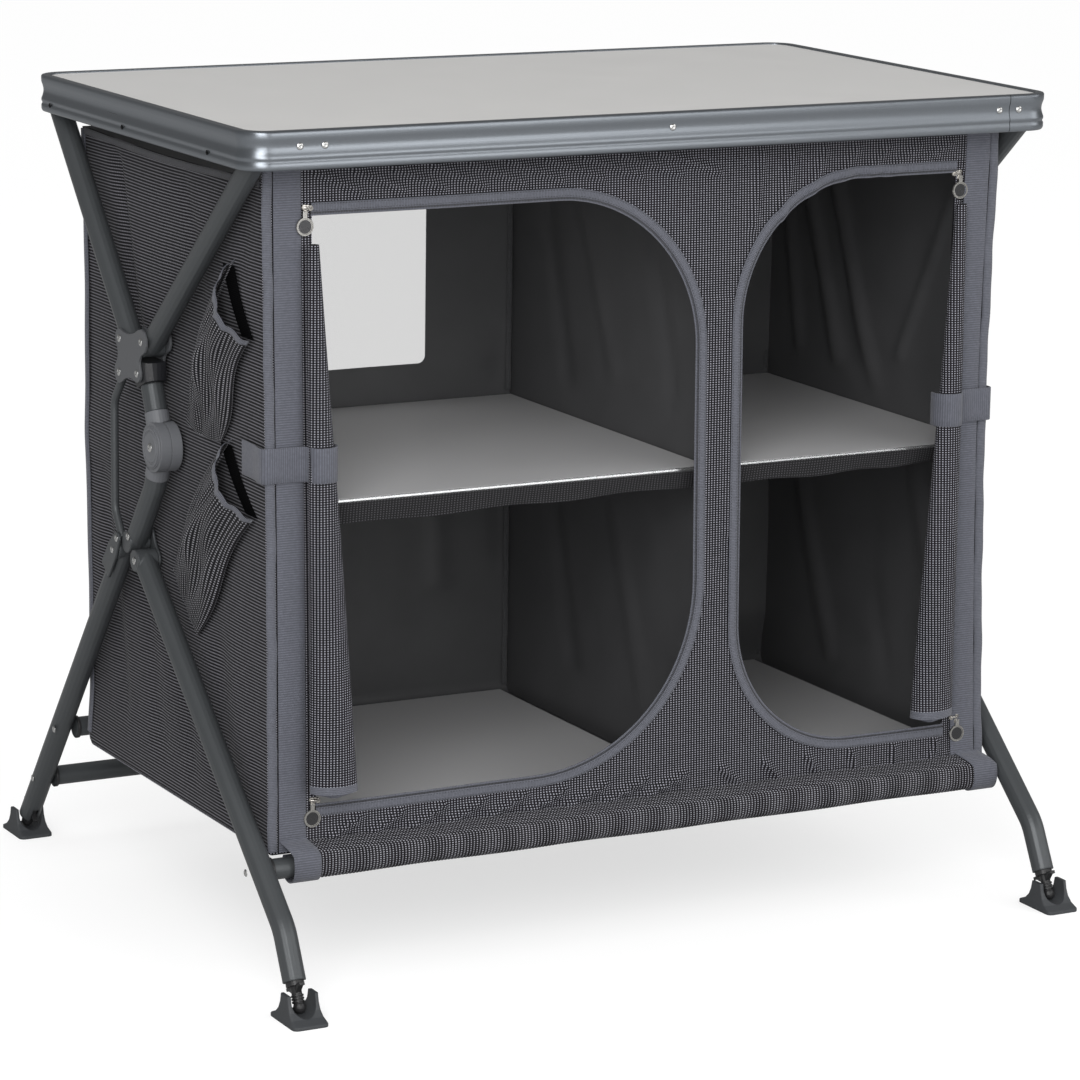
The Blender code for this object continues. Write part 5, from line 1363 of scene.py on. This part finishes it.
section = around()
ring_size = len(section)
lined = []
for k in range(ring_size):
    way = (section[(k + 1) % ring_size] - section[k - 1]).normalized()
    lined.append(section[k] + Vector((-way[1], way[0])) * SLEEVE_THICK)
girths = run_along(section + section[:1])
slants = [BIAS * min(girth, APRON_REACH) for girth in girths]
stations = [SLEEVE_START + (SLEEVE_END - SLEEVE_START) * ring / SLEEVE_RINGS
            for ring in range(SLEEVE_RINGS + 1)]
points, cuts, faces = [], [], []
for x in stations:
    for loop in (section, lined):
        for k, point in enumerate(loop):
            ruffle = 0.00030 * math.sin(2 * math.pi * x / 0.0036) + 0.0004 * math.sin(x * 37 + k * 0.4)
            points.append((x, *(point + (point - BAR_AXIS).normalized() * ruffle)))
for ring, (x0, x1) in enumerate(zip(stations, stations[1:])):
    here, ahead = ring * 2 * ring_size, (ring + 1) * 2 * ring_size
    for k in range(ring_size):
        t = (k + 1) % ring_size
        faces.append((here + k, here + t, ahead + t, ahead + k))
        cuts += [(x0 - slants[k], girths[k]), (x0 - slants[k + 1], girths[k + 1]),
                 (x1 - slants[k + 1], girths[k + 1]), (x1 - slants[k], girths[k])]
        low, high = here + ring_size, ahead + ring_size
        faces.append((low + t, low + k, high + k, high + t))
        cuts += [(x0, girths[k + 1]), (x0, girths[k]), (x1, girths[k]), (x1, girths[k + 1])]
last = SLEEVE_RINGS * 2 * ring_size
for k in range(ring_size):
    t = (k + 1) % ring_size
    faces.append((k, ring_size + k, ring_size + t, t))
    faces.append((last + t, last + ring_size + t, last + ring_size + k, last + k))
    cuts += [(0.0, girths[k])] * 8
sleeve = fitted(made_piece("bar_sleeve", points, faces, [sleeve_cloth], 60, cuts), "front_legs")
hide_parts("front_bar_sleeve")

for side, (top_x, low_x) in LOOPS.items():
    plan = [Vector((-0.2409, 0.1412))] + around(0.0012)[1:2 * len(SLEEVE_SECTION) - 4]
    path = [Vector((top_x + (low_x - top_x) * min(k / 8, 1.0), *point)) for k, point in enumerate(plan)]
    out = [Vector((0, way[2], -way[1])).normalized() for way in ways(path)]
    loop = fitted(strip(f"{side}_bar_loop", path, RIGHTWARD, out, LOOP_WIDTH, WEBBING_THICK,
                        webbing_finish), "front_legs")
    run_along(path)[-1]

BARS = {"front": ("front_legs", BAR_PLACES["front_legs"][0]),
        "rear_upper": ("rear_legs", BAR_PLACES["rear_legs"][0]),
        "rear_lower": ("rear_legs", BAR_PLACES["rear_legs"][1])}
for side, sign in SIDES:
    for name, (body, place) in BARS.items():
        collar = turned_disc(f"{side}_{name}_collar", (sign * COLLAR_X, *place), (sign, 0, 0),
                             COLLAR_STEPS, moulded_black, 32)
        fitted(collar, body)


# The zips' sliders are small bright castings: a waisted body with a bridge, from which a link and
# a plain round pull hang.
PULLS = {"left_top": (-0.3575, 0.7290), "left_bottom": (-0.3545, 0.1720),
         "right_top": (0.3540, 0.7260), "right_bottom": (0.3640, 0.1740)}
PULL_FIELD = 0.0064          # radius of the darker field inside a pull's rolled rim
SLIDER_STEPS = ((-0.0012, 0.0006), (-0.0010, 0.0024), (-0.0004, 0.0029), (0.0004, 0.0029),
                (0.0010, 0.0024), (0.0012, 0.0006))
SLIDER_PARTS = {"nose": (0.0, 0.0, 0.0048), "tail": (0.0062, 0.0, 0.0036),      # across, out, up
                "waist": (0.0031, -0.0003, 0.0044), "foot": (0.0008, 0.0002, -0.0002)}
zip_steel = grained("zip_steel", (0.46, 0.44, 0.41), 0.24, 1.0, 500.0, 0.00005, mottle=0.22, cloud=260.0)
for name, (x, z) in PULLS.items():
    low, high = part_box(f"{name}_zip_pull")
    middle = ((low[0] + high[0]) / 2, (low[1] + high[1]) / 2, low[2] + (high[0] - low[0]) / 2)
    pull_steel = grained(f"{name}_pull_steel", (0.42, 0.41, 0.39), 0.26, 1.0, 500.0, 0.00005,
                         mottle=0.16, cloud=300.0)
    away = wire(pull_steel.node_tree, "ShaderNodeVectorMath",
                {0: own_place(pull_steel.node_tree), 1: middle}, operation="DISTANCE")
    overlaid(pull_steel, maths(pull_steel.node_tree, "LESS_THAN", away.outputs["Value"], PULL_FIELD),
             (0.085, 0.085, 0.088))
    dress([f"{name}_zip_pull"], pull_steel)
    y = high[1] + 0.0004
    hand = 1 if name.startswith("left") else -1
    for part, (aside, lift, up) in SLIDER_PARTS.items():
        crumple(turned_disc(f"{name}_slider_{part}", (x + hand * aside, y - lift, z + up), (0, -1, 0),
                            SLIDER_STEPS, zip_steel, 20))
    bridge = [Vector((x + hand * (-0.0016 + 0.0092 * k / 12),
                      y - 0.0012 - 0.0016 * math.sin(math.pi * k / 12), z + 0.0044)) for k in range(13)]
    crumple(swept(f"{name}_slider_bridge", bridge, ((0, 0.0007, 0), (0, 0, 0.0010)), zip_steel, 10))
